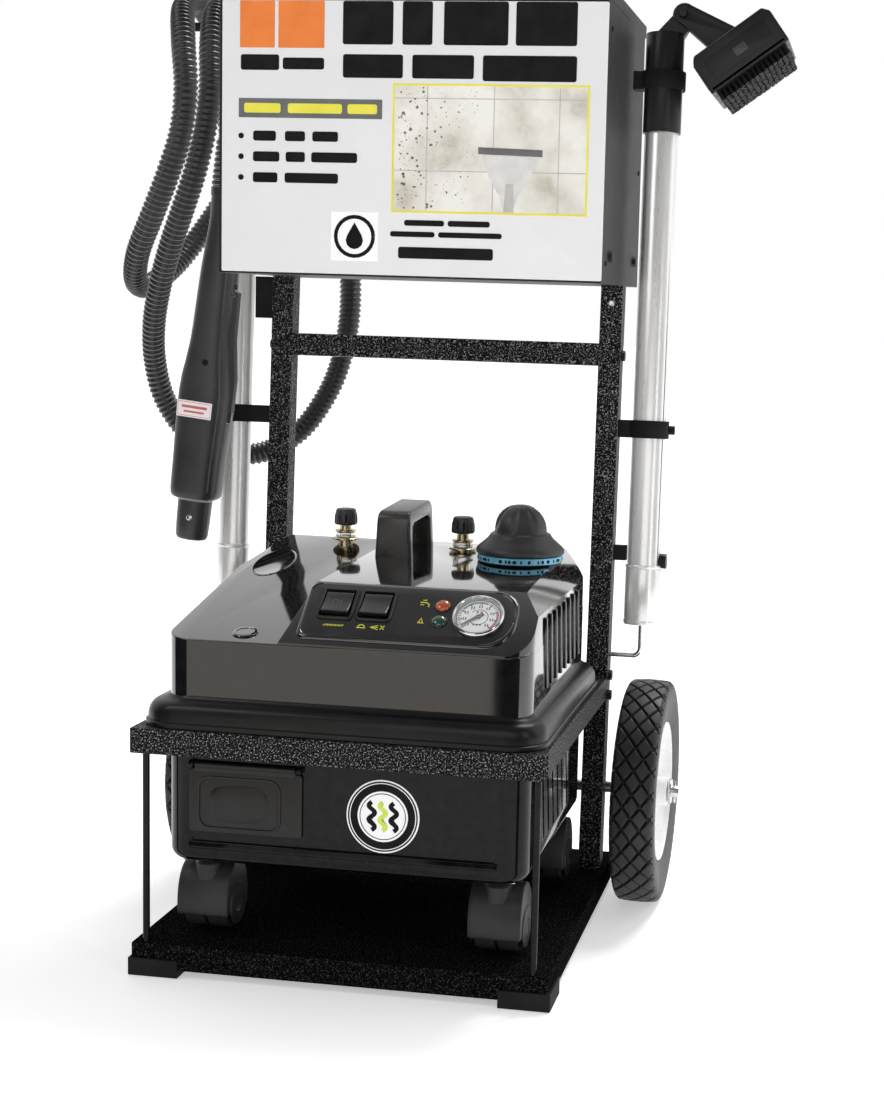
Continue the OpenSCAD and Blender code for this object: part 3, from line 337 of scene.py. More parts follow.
def combine(obj, other, how, sharp=30):
    """Joins, cuts or keeps what two solids share, and removes the second one."""
    b = obj.modifiers.new("combine", "BOOLEAN")
    b.operation = how
    b.solver = "EXACT"
    b.object = other
    settle(obj)
    bpy.data.objects.remove(other)
    shade(obj, sharp)
    return obj


def cut(obj, cutter, sharp=30):
    return combine(obj, cutter, "DIFFERENCE", sharp)


def bore(obj, r, low, high, m, sharp=30, steps=48):
    """A round hole along the z axis of the matrix m."""
    profile = [(0, low), (r, low), (r, high), (0, high)]
    return cut(obj, lathe("bore", profile, obj.data.materials[0], m, None, steps), sharp)


def prism(name, outline, low, high, axis, mat, body="cart", m=None):
    """An outline in millimetres carried along an axis, from low to high."""
    def point(a, b, t):
        p = {"x": (t, a, b), "y": (a, t, b), "z": (a, b, t)}[axis]
        return m @ Vector(p) if m is not None else at(*p)

    n = len(outline)
    verts = [point(a, b, low) for a, b in outline] + [point(a, b, high) for a, b in outline]
    faces = [list(range(n)), list(range(n, 2 * n))]
    faces += [[i, (i + 1) % n, n + (i + 1) % n, n + i] for i in range(n)]
    return make(name, verts, faces, mat, body)


def lathe(name, profile, mat, m, body="cart", steps=48, angle=30, closed=False):
    """Points (radius, height) turned about the z axis of the matrix m."""
    verts, faces = [], []
    n = len(profile)
    for i in range(steps):
        a = 2 * pi * i / steps
        verts += [m @ Vector((r * cos(a), r * sin(a), h)) for r, h in profile]
    for i in range(steps):
        j = (i + 1) % steps
        for k in range(n if closed else n - 1):
            l = (k + 1) % n
            faces.append([i * n + k, j * n + k, j * n + l, i * n + l])
    if not closed:
        for k in (0, n - 1):
            if profile[k][0] > 1e-6:
                faces.append([i * n + k for i in range(steps)])
    obj = make(name, verts, faces, mat, body, angle)
    with edited(obj.data) as bm:
        bmesh.ops.remove_doubles(bm, verts=bm.verts, dist=1e-6)
        bmesh.ops.recalc_face_normals(bm, faces=bm.faces)
    shade(obj, angle)
    return obj


def loft(name, rings, mat, body="cart", angle=40, caps=True):
    """Rings of the same count of points, joined in order."""
    n = len(rings[0])
    verts = [p for ring in rings for p in ring]
    faces = [[i * n + k, i * n + (k + 1) % n, (i + 1) * n + (k + 1) % n, (i + 1) * n + k]
             for i in range(len(rings) - 1) for k in range(n)]
    if caps:
        faces += [list(range(n)), [(len(rings) - 1) * n + k for k in range(n)]]
    return make(name, verts, faces, mat, body, angle)


def arc(cx, cy, r, angles):
    return [(cx + r * cos(radians(a)), cy + r * sin(radians(a))) for a in angles]


def corners(spots, steps):
    """Outline through round corners: each spot is (centre x, centre y, radius, first angle)."""
    points = []
    for cx, cy, r, first in spots:
        points += arc(cx, cy, r, [first + 90 * i / steps for i in range(steps + 1)])
    return points


def squared(wave, power):
    """A sine or cosine made squarer, its sign kept."""
    return copysign(abs(wave) ** power, wave)


def rounded(low, high, r, steps=6):
    """Outline of a rectangle with round corners."""
    return corners(((high[0] - r, high[1] - r, r, 0), (low[0] + r, high[1] - r, r, 90),
                    (low[0] + r, low[1] + r, r, 180), (high[0] - r, low[1] + r, r, 270)), steps)


def circle(cx, cy, r, steps=20, first=0.0, last=360.0):
    return arc(cx, cy, r, [first + (last - first) * k / steps for k in range(steps + 1)])


def merged(name, objs, body="cart"):
    """One piece from several."""
    bpy.ops.object.select_all(action="DESELECT")
    for o in objs:
        o.parent = None
        o.select_set(True)
    bpy.context.view_layer.objects.active = objs[0]
    bpy.ops.object.join()
    obj = bpy.context.view_layer.objects.active
    obj.name = name
    if body:
        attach(obj, body)
    return obj


def smooth_path(points, step):
    """Points a step apart along the Catmull-Rom curve through the given points."""
    fine = []
    p = [points[0] + (points[0] - points[1])] + points + [points[-1] + (points[-1] - points[-2])]
    for i in range(1, len(p) - 2):
        a, b, c, d = p[i - 1:i + 3]
        for k in range(24):
            t = k / 24
            square, cube = 2 * a - 5 * b + 4 * c - d, 3 * b - a - 3 * c + d
            fine.append(0.5 * ((2 * b) + (c - a) * t + square * t * t + cube * t ** 3))
    fine.append(points[-1])
    out, left = [fine[0]], step
    for i in range(1, len(fine)):
        a, b = fine[i - 1], fine[i]
        length = (b - a).length
        done = 0.0
        while length - done >= left:
            done += left
            out.append(a.lerp(b, done / length))
            left = step
        left -= length - done
    return out


def path_frames(path):
    """Two cross directions at each point, carried along without twist."""
    frames = []
    n = Vector((1, 0, 0))
    for i, p in enumerate(path):
        t = (path[min(i + 1, len(path) - 1)] - path[max(i - 1, 0)]).normalized()
        n = (n - n.dot(t) * t).normalized()
        frames.append((n, t.cross(n)))
    return frames


# ---------------------------------------------------------------- hose

HOSE_ROUTE = [(-238, 118, 795), (-236, 118, 850), (-232, 118, 900), (-227, 118, 945), (-225, 130, 989),
              (-226, 160, 1025), (-227, 205, 1046), (-227, 250, 1045), (-226, 297, 1021), (-220, 326, 980),
              (-210, 335, 925), (-194, 333, 868), (-176, 326, 812), (-160, 315, 755), (-150, 302, 698),
              (-148, 287, 640), (-157, 268, 583), (-178, 252, 537), (-203, 244, 509), (-240, 235, 489),
              (-284, 224, 489), (-322, 210, 512), (-344, 192, 552), (-348, 172, 598), (-338, 146, 643),
              (-320, 121, 687), (-299, 99, 729), (-277, 81, 770), (-258, 70, 812), (-245, 65, 856), (-239, 66, 902),
              (-244, 81, 950), (-253, 118, 989), (-256, 170, 1003), (-258, 224, 988), (-262, 263, 949),
              (-267, 280, 900), (-277, 280, 850), (-297, 275, 803), (-322, 264, 758), (-345, 240, 717),
              (-357, 200, 692), (-356, 155, 684), (-346, 112, 694), (-327, 76, 722), (-302, 55, 761), (-278, 42, 806),
              (-260, 34, 850), (-254, 33, 897), (-263, 48, 947), (-279, 89, 988), (-286, 144, 1003), (-287, 198, 986),
              (-289, 237, 947), (-289, 249, 897), (-283, 248, 845), (-274, 246, 800), (-266, 245, 765)]
HOSE_D = 0.027
RIB = 0.0064


def corrugated(name, path, radius, pitch, per_rib, sides, mat):
    """A tube whose wall rises and falls in a fine helix."""
    frames = path_frames(path)
    rings = []
    for i, p in enumerate(path):
        n, b = frames[i]
        phase = 2 * pi * i / per_rib
        ring = []
        for k in range(sides):
            a = 2 * pi * k / sides
            crest = 0.5 + 0.5 * cos(phase - a)
            r = radius * (0.84 + 0.16 * crest ** 1.1)
            ring.append(p + r * (cos(a) * n + sin(a) * b))
        rings.append(ring)
    return loft(name, rings, mat, angle=60)


hose_points = [at(*p) for p in HOSE_ROUTE]
hose_path = smooth_path(hose_points, RIB / 5)
hose = corrugated("steam_hose", hose_path, HOSE_D / 2, RIB, 5, 14, HOSE)
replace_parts(hose, "hose")

# ---------------------------------------------------------------- shells of the steamer

def ease(obj, width, segments, chosen):
    """Rounds the chosen edges of a piece."""
    with edited(obj.data) as bm:
        bmesh.ops.bevel(bm, geom=[e for e in bm.edges if chosen(e)], offset=width / 1000, segments=segments,
                        profile=0.5,
                        affect="EDGES", clamp_overlap=True)


def convex(name, planes, mat, plan=None, edge=0.0, low=None, body="cart"):
    """A block cut down by planes (point, outward direction) and by a plan with round corners, in millimetres."""
    obj = add(name, bpy.data.meshes.new(name))
    with edited(obj.data) as bm:
        bmesh.ops.create_cube(bm, size=1400)
        for point, normal in planes:
            bmesh.ops.bisect_plane(bm, geom=bm.verts[:] + bm.edges[:] + bm.faces[:], plane_co=point, plane_no=normal,
                                   clear_outer=True)
            bmesh.ops.holes_fill(bm, edges=[e for e in bm.edges if e.is_boundary], sides=0)
        for v in bm.verts:
            v.co = at(*v.co)
    obj.data.materials.append(mat)
    if plan:
        low_corner, high_corner, r = plan
        combine(obj, prism("plan", rounded(low_corner, high_corner, r, 10), 0, 600, "z", mat, None), "INTERSECT")
    if edge:
        ease(obj, edge, 5, lambda e: abs((e.verts[1].co - e.verts[0].co).normalized().z) < 0.95
             and e.calc_face_angle(0) > radians(20) and max(v.co.z for v in e.verts) > low / 1000)
    shade(obj, 30)
    if body:
        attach(obj, body)
    return obj


BODY_LEFT, BODY_RIGHT, BODY_FRONT, BODY_BACK = -181, 185, -205, 118
SHELL_LOW, SKIRT_LOW, FRONT_EDGE = 118, 262, 345
WALL = 3


def walls(t):
    """The four sides of the steamer, let in by a wall of t."""
    return [((0, BODY_FRONT + t, 0), (0, -1, 0)), ((0, BODY_BACK - t, 0), (0, 1, 0)),
            ((BODY_LEFT + t, 0, 0), (-1, 0, 0)), ((BODY_RIGHT - t, 0, 0), (1, 0, 0))]


def case_planes(t, top):
    """Sides, floor and top of the lower shell."""
    return walls(t) + [((0, 0, SHELL_LOW + t), (0, 0, -1)), ((0, 0, top), (0, 0, 1))]


def low_planes(t):
    """The cover's low left part: the deck, and its sloping left and right edges."""
    return walls(t) + [((0, 0, SKIRT_LOW + 6 - 4 * t), (0, 0, -1)),
                       ((0, BODY_FRONT + 9, FRONT_EDGE - t), (0, -60, 302)),
                       ((BODY_LEFT + 10 + t, 0, 396 - t), (-23, 0, 20)),
                       ((BODY_RIGHT - t, 0, FRONT_EDGE - t), (63, 0, 30))]


def console_planes(t):
    """The cover's raised right part, with the sloping console at its front."""
    return [((0, BODY_FRONT + 0.5 + t, 0), (0, -1, 0)), ((0, BODY_BACK - 0.4 - t, 0), (0, 1, 0)),
            ((-66 + t, 0, 340), (-68, 0, 26)), ((BODY_RIGHT - 0.3 - t, 0, 0), (1, 0, 0)),
            ((0, 0, 285 - 4 * t), (0, 0, -1)), ((0, -200, 348.6 - t * 1.2), (0, -48, 58)),
            ((0, -142, 397 - t), (0, -10, 248)), ((159, 0, 408 - t), (31, 0, 26))]


def grow(rings_low, rings_high, steps):
    """Rings between two outlines: each step is (share of the way, height)."""
    return [[at(a[0] + (b[0] - a[0]) * s, a[1] + (b[1] - a[1]) * s, z) for a, b in zip(rings_low, rings_high)]
            for s, z in steps]


def plain_box(name, low, high, m=None):
    """A cutter: a box between two corners in millimetres."""
    outline = [(low[0], low[1]), (high[0], low[1]), (high[0], high[1]), (low[0], high[1])]
    return prism(name, outline, low[2], high[2], "z", GLOSS, None, m)


def rod_between(name, a, b, r, mat, body):
    """A straight round rod, its ends eased."""
    a, b = at(*a), at(*b)
    m = Matrix.Translation(a) @ (b - a).to_track_quat("Z", "Y").to_matrix().to_4x4() @ Matrix.Scale(0.001, 4)
    length = (b - a).length * 1000
    e = min(0.8, r * 0.3)
    return lathe(name, [(0, 0), (r - e, 0), (r, e), (r, length - e), (r - e, length), (0, length)], mat, m, body, 20)


PANEL_TILT = turn("X", 39)


def on_panel(a, b, h=0.0):
    p = Vector((a, -200, 349)) + PANEL_TILT @ Vector((0, b, h))
    return place(*p, PANEL_TILT)


POWER, STEAM, RED_AT, GREEN_AT, GAUGE = (-16, 46), (23, 46), (89, 51), (89, 31), (127, 38)
ROCKER_HALF_W, ROCKER_HALF_L = 15, 17
LEFT_VALVE, RIGHT_VALVE, CAP = (-88, 93), (53, 69), (126, 28)


def body_plan(inset, r, left=BODY_LEFT):
    return (left + inset, BODY_FRONT + inset), (BODY_RIGHT - inset, BODY_BACK - inset), r - inset


cover = convex("cover_body", low_planes(0), GLOSS, body_plan(0, 26), 5, 320)
combine(cover, convex("cover_console", console_planes(0), GLOSS, body_plan(0.2, 28, -240), 4, 320), "UNION")
cut(cover, convex("inside_a", low_planes(WALL), GLOSS, body_plan(WALL, 26), 0, None, None))
cut(cover, convex("inside_b", console_planes(WALL), GLOSS, body_plan(WALL, 28, -240), 0, None, None))
for a, b in (POWER, STEAM):
    cut(cover, plain_box("well", (-ROCKER_HALF_W, -ROCKER_HALF_L, -22), (ROCKER_HALF_W, ROCKER_HALF_L, 30),
                         on_panel(a, b)))
for spot, r in ((RED_AT, 5.4), (GREEN_AT, 5.4), (GAUGE, 23.4)):
    bore(cover, r, -30, 12, on_panel(*spot))
for x, y in (LEFT_VALVE, RIGHT_VALVE):
    bore(cover, 8.6, 0, 60, place(x, y, 370))
bore(cover, 32, 0, 60, place(CAP[0], CAP[1], 370))
LOUVRE_TILT = turn("X", 12)
for i in range(7):
    cut(cover, plain_box("slot", (0, 0, 0), (14, 7, 58), place(BODY_RIGHT - 8, -110 + 26 * i, 312, LOUVRE_TILT)))
RECESS = place(-147, 22, 388.3, turn("X", 11.2)) @ Matrix.Diagonal((0.93, 1.93, 1, 1))
bore(cover, 21, -20, 20, RECESS, steps=72)
dish = lathe("cover_recess", [(20.5, 0.4), (21.6, 0.9), (22.6, 0.5), (22.9, -0.6), (21.4, -3.4), (18, -6.6),
                              (13, -7.8), (0, -8.0), (0, -6.2), (13, -6.0), (17, -4.8), (19.6, -2.2)], GLOSS, RECESS,
             steps=72)
cover.name = "top_cover_shell"

skirt_out = rounded((-201, -220), (201, 128), 34, 8)
skirt_in = rounded((BODY_LEFT + 2, BODY_FRONT + 2), (BODY_RIGHT - 2, BODY_BACK - 2), 28, 8)
SKIRT_STEPS = [(0.16, 262), (0.0, 262), (0.0, 267), (0.03, 271), (0.1, 275), (0.22, 278.4), (0.38, 280.6),
               (0.56, 281.8), (0.72, 283), (0.84, 285.4), (0.93, 289), (1.0, 294), (1.0, 298), (1.3, 298), (1.3, 262)]
skirt = loft("cover_skirt", grow(skirt_out, skirt_in, SKIRT_STEPS), SATIN, caps=False)
louvre_ribs = []
for i in range(8):
    y = -119 + 26 * i
    rib = prism("rib", [(y - 2.2, 298), (y + 2.2, 298), (y - 11, 372), (y - 15.4, 372)], BODY_RIGHT - 2,
                BODY_RIGHT + 2.6, "x", GLOSS)
    louvre_ribs.append(bevel(rib, 1.5))
ribs = merged("cover_ribs", louvre_ribs)
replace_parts(cover, "top_cover")

# lower shell
shell = convex("lower_case", case_planes(0, SKIRT_LOW), GLOSS_LOW, body_plan(0, 28))
foot_z = at(0, 0, SHELL_LOW).z
ease(shell, 12, 6, lambda e: max(v.co.z for v in e.verts) < foot_z + 0.0001 and e.calc_face_angle(0) > 1)
cut(shell, convex("inside", case_planes(WALL, SKIRT_LOW + 20), GLOSS_LOW, body_plan(WALL, 28), 0, None, None))
SOCKET = (-98, 180)
bore(shell, 19, -4, 10, place(SOCKET[0], BODY_FRONT, SOCKET[1], turn("X", -90)))
bore(shell, 10.6, -10, 12, place(120, BODY_BACK, 180, turn("X", -90)))
for i in range(7):
    cut(shell, plain_box("slot", (0, 0, 0), (14, 7, 84), place(BODY_RIGHT - 8, -110 + 26 * i, 140, LOUVRE_TILT)))
cut(shell, plain_box("groove", (-150, BODY_FRONT - 2, 141), (155, BODY_FRONT + 1.6, 145)))
for x in (-148, 152):
    for y in (-166, 70):
        bore(shell, 5.2, -6, 10, place(x, y, SHELL_LOW))
flange_in = rounded((BODY_LEFT + 1, BODY_FRONT + 1), (BODY_RIGHT - 1, BODY_BACK - 1), 27, 8)
flange = loft("case_flange", grow(rounded((-203, -222), (203, 130), 35, 8), flange_in,
                                  [(1.0, 256), (0.05, 256), (0.0, 257), (0.0, 261), (0.05, 261.9), (1.0, 261.9)]),
              SATIN, caps=False)
ledge = bevel(prism("case_ledge", [(BODY_FRONT - 2.6, 135), (BODY_FRONT + 1, 133), (BODY_FRONT + 1, 142),
                                   (BODY_FRONT - 1.6, 141)], -154, 158, "x", GLOSS_LOW), 0.8)
ear_pieces = []
for x in (-152, -42):
    ear = prism("ear", arc(-209, 220, 3.6, range(90, 271, 20)) + [(-204, 216.4), (-204, 223.6)], x, x + 5, "x",
                GLOSS_LOW)
    ear_pieces.append(bevel(ear, 0.6))
ears = merged("flap_ears", ear_pieces)
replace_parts(shell, "lower_shell")

# hinged flap, with a rounded frame round a bulged middle
FLAP_LOW, FLAP_HIGH = (-152, 152), (-37, 215.5)
flap = bevel(prism("flap_plate", rounded(FLAP_LOW, FLAP_HIGH, 3), BODY_FRONT - 3.2, BODY_FRONT - 0.5, "y", FLAP,
                   "flap"), 0.9)
frame_ring = []
for inset, y in ((0, -208.3), (0.4, -209.4), (2.4, -209.4), (3.0, -208.6), (3.0, -208.0)):
    outline = rounded((-144 + inset, 155 + inset), (-58 - inset, 209 - inset), 13 - inset, 6)
    frame_ring.append([at(x, y, z) for x, z in outline])
flap_ring = loft("flap_frame", frame_ring, FLAP, "flap", caps=False)
bulge = []
for k in range(9):
    s = cos(radians(90 * k / 8))
    h = 2.6 * sin(radians(90 * k / 8)) ** 1.2
    half_x, half_z = 30 * (0.12 + 0.88 * s), 19 * (0.12 + 0.88 * s)
    bulge.append([at(-101 + half_x * squared(cos(a), 0.62), -208.0 - h, 182 + half_z * squared(sin(a), 0.62))
                  for a in [2 * pi * i / 48 for i in range(48)]])
flap_bulge = loft("flap_bulge", bulge, FLAP, "flap")
barrel = rod_between("flap_barrel", (-146, -209, 220), (-43, -209, 220), 2.8, FLAP, "flap")
web = bevel(prism("flap_web", [(-210, 213), (-208, 213), (-207.6, 219), (-210.2, 219)], -146, -43, "x", FLAP, "flap"),
            0.5)
flap_all = merged("socket_flap_door", [flap, flap_ring, flap_bulge, barrel, web], "flap")
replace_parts(flap_all, "socket_flap")

# ---------------------------------------------------------------- control panel

PANEL_LEN = 58 / cos(radians(39))


def panel_outline(inset=0.0):
    """Round on the left by a little, and on the right by a lot, round the gauge."""
    x0, x1, y0, y1 = -47 + inset, 163 - inset, 3 + inset, PANEL_LEN - 2 - inset
    return corners(((x1 - 26, y1 - 26, 26, 0), (x0 + 10, y1 - 10, 10, 90), (x0 + 10, y0 + 10, 10, 180),
                    (x1 - 32, y0 + 32, 32, 270)), 8)


panel = bevel(prism("panel_plate", panel_outline(), -0.2, 2.0, "z", PANEL, "cart", on_panel(0, 0)), 0.9)
for a, b in (POWER, STEAM):
    cut(panel, plain_box("well", (-ROCKER_HALF_W, -ROCKER_HALF_L, -10), (ROCKER_HALF_W, ROCKER_HALF_L, 10),
                         on_panel(a, b)))
for spot, r in ((RED_AT, 5.4), (GREEN_AT, 5.4), (GAUGE, 23.2)):
    bore(panel, r, -10, 10, on_panel(*spot))
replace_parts(panel, "control_panel")
lip = loft("panel_lip", [[on_panel(0, 0) @ Vector((x, y, h)) for x, y in panel_outline(inset)]
                         for inset, h in ((-2.4, 0.0), (-1.8, 1.5), (-0.8, 2.3), (0.6, 2.5), (1.4, 1.9))], GLOSS,
           caps=False)
for name, (a, b), rider in (("power", POWER, "power_rocker"), ("steam", STEAM, "steam_rocker")):
    rings = []
    for out, h in ((3.4, 1.6), (3.4, 3.2), (2.6, 4.1), (1.0, 4.3), (0.3, 3.6), (0.2, 1.0)):
        half_w, half_l = ROCKER_HALF_W + out, ROCKER_HALF_L + out
        rings.append([on_panel(a, b) @ Vector((x, y, h))
                      for x, y in rounded((-half_w, -half_l), (half_w, half_l), 1.5 + out, 4)])
    surround = loft(name + "_surround", rings, PANEL, caps=False)
    cap_shape = prism(name + "_rocker", [(-14, 7), (-14, 14), (-9, 12.4), (-4, 11.2), (2, 10.4), (8, 10), (14, 10.1),
                                         (14, 4), (0, -5)], -14, 14, "x", ROCKER, rider, on_panel(a, b, -6))
    bevel(cap_shape, 1.1)
    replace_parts(cap_shape, name + "_switch")


def stroke(points, width, low, high, mat, m, name="mark", body="cart"):
    """A printed line through points, as one thin raised strip."""
    pts = [Vector(p) for p in points]
    one_side, other_side = [], []
    for i, p in enumerate(pts):
        d = (pts[min(i + 1, len(pts) - 1)] - pts[max(i - 1, 0)]).normalized()
        n = Vector((-d.y, d.x)) * width / 2
        one_side.append(tuple(p + n))
        other_side.append(tuple(p - n))
    return prism(name, one_side + other_side[::-1], low, high, "z", mat, body, m)


# printed signs: heat below the left switch, steam jet below the right one, tap and drop beside the lamps
marks = []


def mark(points, width):
    marks.append(stroke(points, width, 2.0, 2.25, YELLOW, on_panel(0, 0)))


for k in range(5):
    mark([(-24 + 4 * k, 17), (-22.6 + 4 * k, 19), (-21.6 + 4 * k, 17.6), (-20.2 + 4 * k, 19.6)], 0.9)
mark(circle(14, 17.4, 3.4, 12, 10, 170), 1.0)
mark([(9.6, 17), (18.4, 17)], 1.0)
for k in (-1, 0, 1):
    mark([(23, 18.4), (27, 18.4 + 1.4 * k), (31, 18.4 + 2.6 * k)], 0.8)
mark([(33, 16), (37, 21)], 0.9)
mark([(37, 16), (33, 21)], 0.9)
mark([(66, 54), (72, 54), (75, 51.5), (75, 48.5)], 1.2)
for points in ([(68, 57), (72, 57)], [(66, 51), (70, 51)], [(69, 28), (71, 34), (73, 28)], [(68, 27.6), (74, 27.6)]):
    mark(points, 1.0)
panel_marks = merged("panel_marks", marks)
dial_mark = merged("power_mark", [stroke(points, width, 10.4, 10.65, GREY, on_panel(*POWER, -6), body=None)
                                  for points, width in ((circle(-2, 1, 2.2, 16, 0, 300), 0.7),
                                                        ([(3.4, -1), (3.4, 3)], 0.8))],
                   "power_rocker")

lamps = []
for name, spot, mat in (("lamp_heating", RED_AT, LAMP_RED), ("lamp_ready", GREEN_AT, LAMP_GREEN)):
    lamp = lathe(name, [(0, -12), (5, -12), (5, 2.1), (7.2, 2.1), (7.2, 3.0), (6.4, 4.0), (4.4, 4.9), (2.2, 5.4),
                        (0, 5.5)], mat, on_panel(*spot), steps=40)
    ring = lathe(name + "_ring", [(7.2, 1.8), (8.6, 1.8), (8.6, 2.7), (8.0, 3.1), (7.3, 3.0)], PANEL, on_panel(*spot),
                 steps=40, closed=True)
    lamps.append(lamp)
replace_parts(lamps[0], "indicator_lamps")

# pressure gauge
gauge = lathe("gauge_bezel", [(0, -24), (22.6, -24), (22.6, 2.1), (25.2, 2.1), (26, 3), (26, 5.4), (25.5, 6.9),
                              (24.5, 7.8), (23.6, 7.9), (22.9, 7.2), (22.6, 6), (22.6, 3.0), (0, 3.0)], CHROME,
              on_panel(*GAUGE), steps=72)
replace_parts(gauge, "gauge_case")
dial = lathe("gauge_dial", [(0, 3.05), (22.4, 3.05), (22.4, 3.3), (0, 3.3)], WHITE, on_panel(*GAUGE), steps=72)
dial_parts = []


def ink(points, width):
    dial_parts.append(stroke(points, width, 3.3, 3.42, INK, on_panel(*GAUGE)))


for k in range(41):
    a = radians(225 - 270 * k / 40)
    inner, width = (15.8, 1.3) if k % 5 == 0 else (17.8, 0.7)
    ink([(inner * cos(a), inner * sin(a)), (20.2 * cos(a), 20.2 * sin(a))], width)
for k in range(9):
    a = radians(225 - 270 * k / 8)
    x, y = 13.6 * cos(a), 13.6 * sin(a)
    ink([(x - 1.2, y - 1.7), (x - 1.2, y + 1.7)], 1.2)
    ink([(x + 1.2, y - 1.7), (x + 1.2, y + 1.7)], 1.2)
ink(circle(0, 0, 21.6, 48), 1.1)
ink(circle(0, 0, 9.4, 32, -140, 140), 0.8)
for x, y in ((-3.2, -9.6), (0, -9.6), (3.2, -9.6), (-2, 6.4), (2, 6.4)):
    ink([(x - 1, y), (x + 1, y)], 2.2)
dial_ticks = merged("gauge_ticks", dial_parts)
for name, mat, a0, a1 in (("green", GREEN, 150, 70), ("red", RED, 20, -45)):
    zone = stroke(circle(0, 0, 18.6, 24, a0, a1), 2.4, 3.31, 3.38, mat, on_panel(*GAUGE), "gauge_arc_" + name)
needle_parts = [prism("pointer", [(-6, -1.5), (0, -2.0), (19, -0.5), (19, 0.5), (0, 2.0), (-6, 1.5)], 4.1, 4.7, "z",
                      INK, "needle", on_panel(*GAUGE) @ Matrix.Rotation(radians(218), 4, "Z")),
                lathe("hub", [(0, 3.7), (2.6, 3.7), (2.6, 4.8), (2.0, 5.3), (0, 5.4)], INK, on_panel(*GAUGE),
                      "needle", 24)]
needle = merged("gauge_pointer", needle_parts, "needle")
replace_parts(needle, "gauge_needle")

# ---------------------------------------------------------------- deck fittings

def lobed(name, profile, hollow, mat, m, body, steps=96, angle=40):
    """A turned shape let in by its hollows: profile is (radius, height, depth of the hollows)."""
    rings = []
    for r, h, depth in profile:
        ring = []
        for k in range(steps):
            a = 2 * pi * k / steps
            radius = r - depth * hollow(a)
            ring.append(m @ Vector((radius * cos(a), radius * sin(a), h)))
        rings.append(ring)
    return loft(name, rings, mat, body, angle)


def knob_hollow(a):
    return max(0.0, cos(10 * a)) ** 3


def cap_hollow(a):
    return max(0.0, min(1.0, 0.5 + 0.9 * cos(4 * (a - 0.35)))) ** 1.5


VALVE_TOP = 425
for name, (x, y) in (("left", LEFT_VALVE), ("right", RIGHT_VALVE)):
    deck = 405.6 if name == "right" else 407  # height of the deck under the valve
    m = place(x, y, 0)
    turned = [(8, 1.2), (14.6, 1.3), (15, 1.8), (15, 3.2), (14.2, 3.8), (8.5, 4.0), (8, 5), (8, 10), (11.4, 10.4),
              (12, 11), (12, 12), (11.2, 12.6), (6.6, 13)]
    brass_body = lathe(name + "_valve_stem", [(0, 370), (8, 370)] + [(r, deck + h) for r, h in turned]
                       + [(6.6, VALVE_TOP - 1), (3, VALVE_TOP - 1), (3, VALVE_TOP + 12), (0, VALVE_TOP + 12)], BRASS,
                       m)
    nut = bevel(prism(name + "_valve_nut", arc(0, 0, 11.2, range(15, 361, 60)), deck + 4.2, deck + 9.6, "z", CHROME,
                      "cart", m), 0.8)
    if name == "left":
        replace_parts(brass_body, "valve_bodies")
    knob = lobed(name + "_hand_knob", [(4, 0, 0), (11.6, 0, 0), (12.6, 0.8, 0), (12.9, 2.0, 0.4), (12.9, 3.4, 1.9),
                                       (12.8, 7, 2.2), (12.4, 10.5, 2.1), (12.0, 12.0, 0.6), (11.8, 13, 0.1),
                                       (11.3, 15.6, 0), (10.4, 17.4, 0), (8.8, 18, 0), (4, 18, 0)], knob_hollow, KNOB,
                 place(x, y, VALVE_TOP + 0.4), name + "_knob")
    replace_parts(knob, name + "_valve_knob")

base = lathe("neck_base", [(20, 366), (28, 366), (28, 396), (38, 398), (42, 401), (45, 404), (45, 404.4), (28, 404.4),
                           (28, 419.6), (20, 419.6)], TOOL, place(*CAP, 0), steps=72, closed=True)
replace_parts(base, "filler_neck")
band = lathe("neck_band_blue", [(30, 404.5), (45.0, 404.5), (45.6, 405), (45.6, 410.9), (45.0, 411.5), (30, 411.5)],
             BLUE, place(*CAP, 0), steps=72, closed=True)
band_marks = []
for k in range(46):
    a = radians(360 * k / 46 + (k * k % 5))
    if k % 7 == 3:
        continue
    w = 0.9 + 0.5 * (k % 3)
    spot = place(CAP[0] + 45.6 * cos(a), CAP[1] + 45.6 * sin(a), 407.9) @ Matrix.Rotation(a, 4, "Z")
    band_marks.append(prism("tick", [(-0.2, -w), (0.15, -w), (0.15, w), (-0.2, w)], -1.6, 1.6, "z", INK, "cart",
                            spot))
tick_ring = merged("band_ticks", band_marks)

cap_profile = [(28.6, 7.5, 0), (28.6, 0.2, 0), (46.2, 0.2, 0), (47.3, 1.0, 0), (47.4, 3.6, 0), (46.8, 5.4, 0),
               (44.0, 8.4, 0), (39.5, 12.2, 0), (35.5, 15.8, 0), (33.4, 18.6, 0), (32.4, 20.4, 0), (31.6, 21.2, 0),
               (29.6, 21.6, 0), (28.9, 23.0, 0.5), (29.6, 26.0, 3.0), (29.4, 30, 5.2), (28.2, 35, 6.4),
               (25.6, 40, 6.4), (21.6, 44.6, 5.4), (16.8, 48.2, 3.8), (11.4, 50.6, 2.0), (6.0, 51.7, 0.6),
               (2.0, 52.0, 0)]
cap = lobed("boiler_cap_dome", cap_profile, cap_hollow, KNOB, place(*CAP, 412.4), "cap", 120, 45)
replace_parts(cap, "boiler_cap")

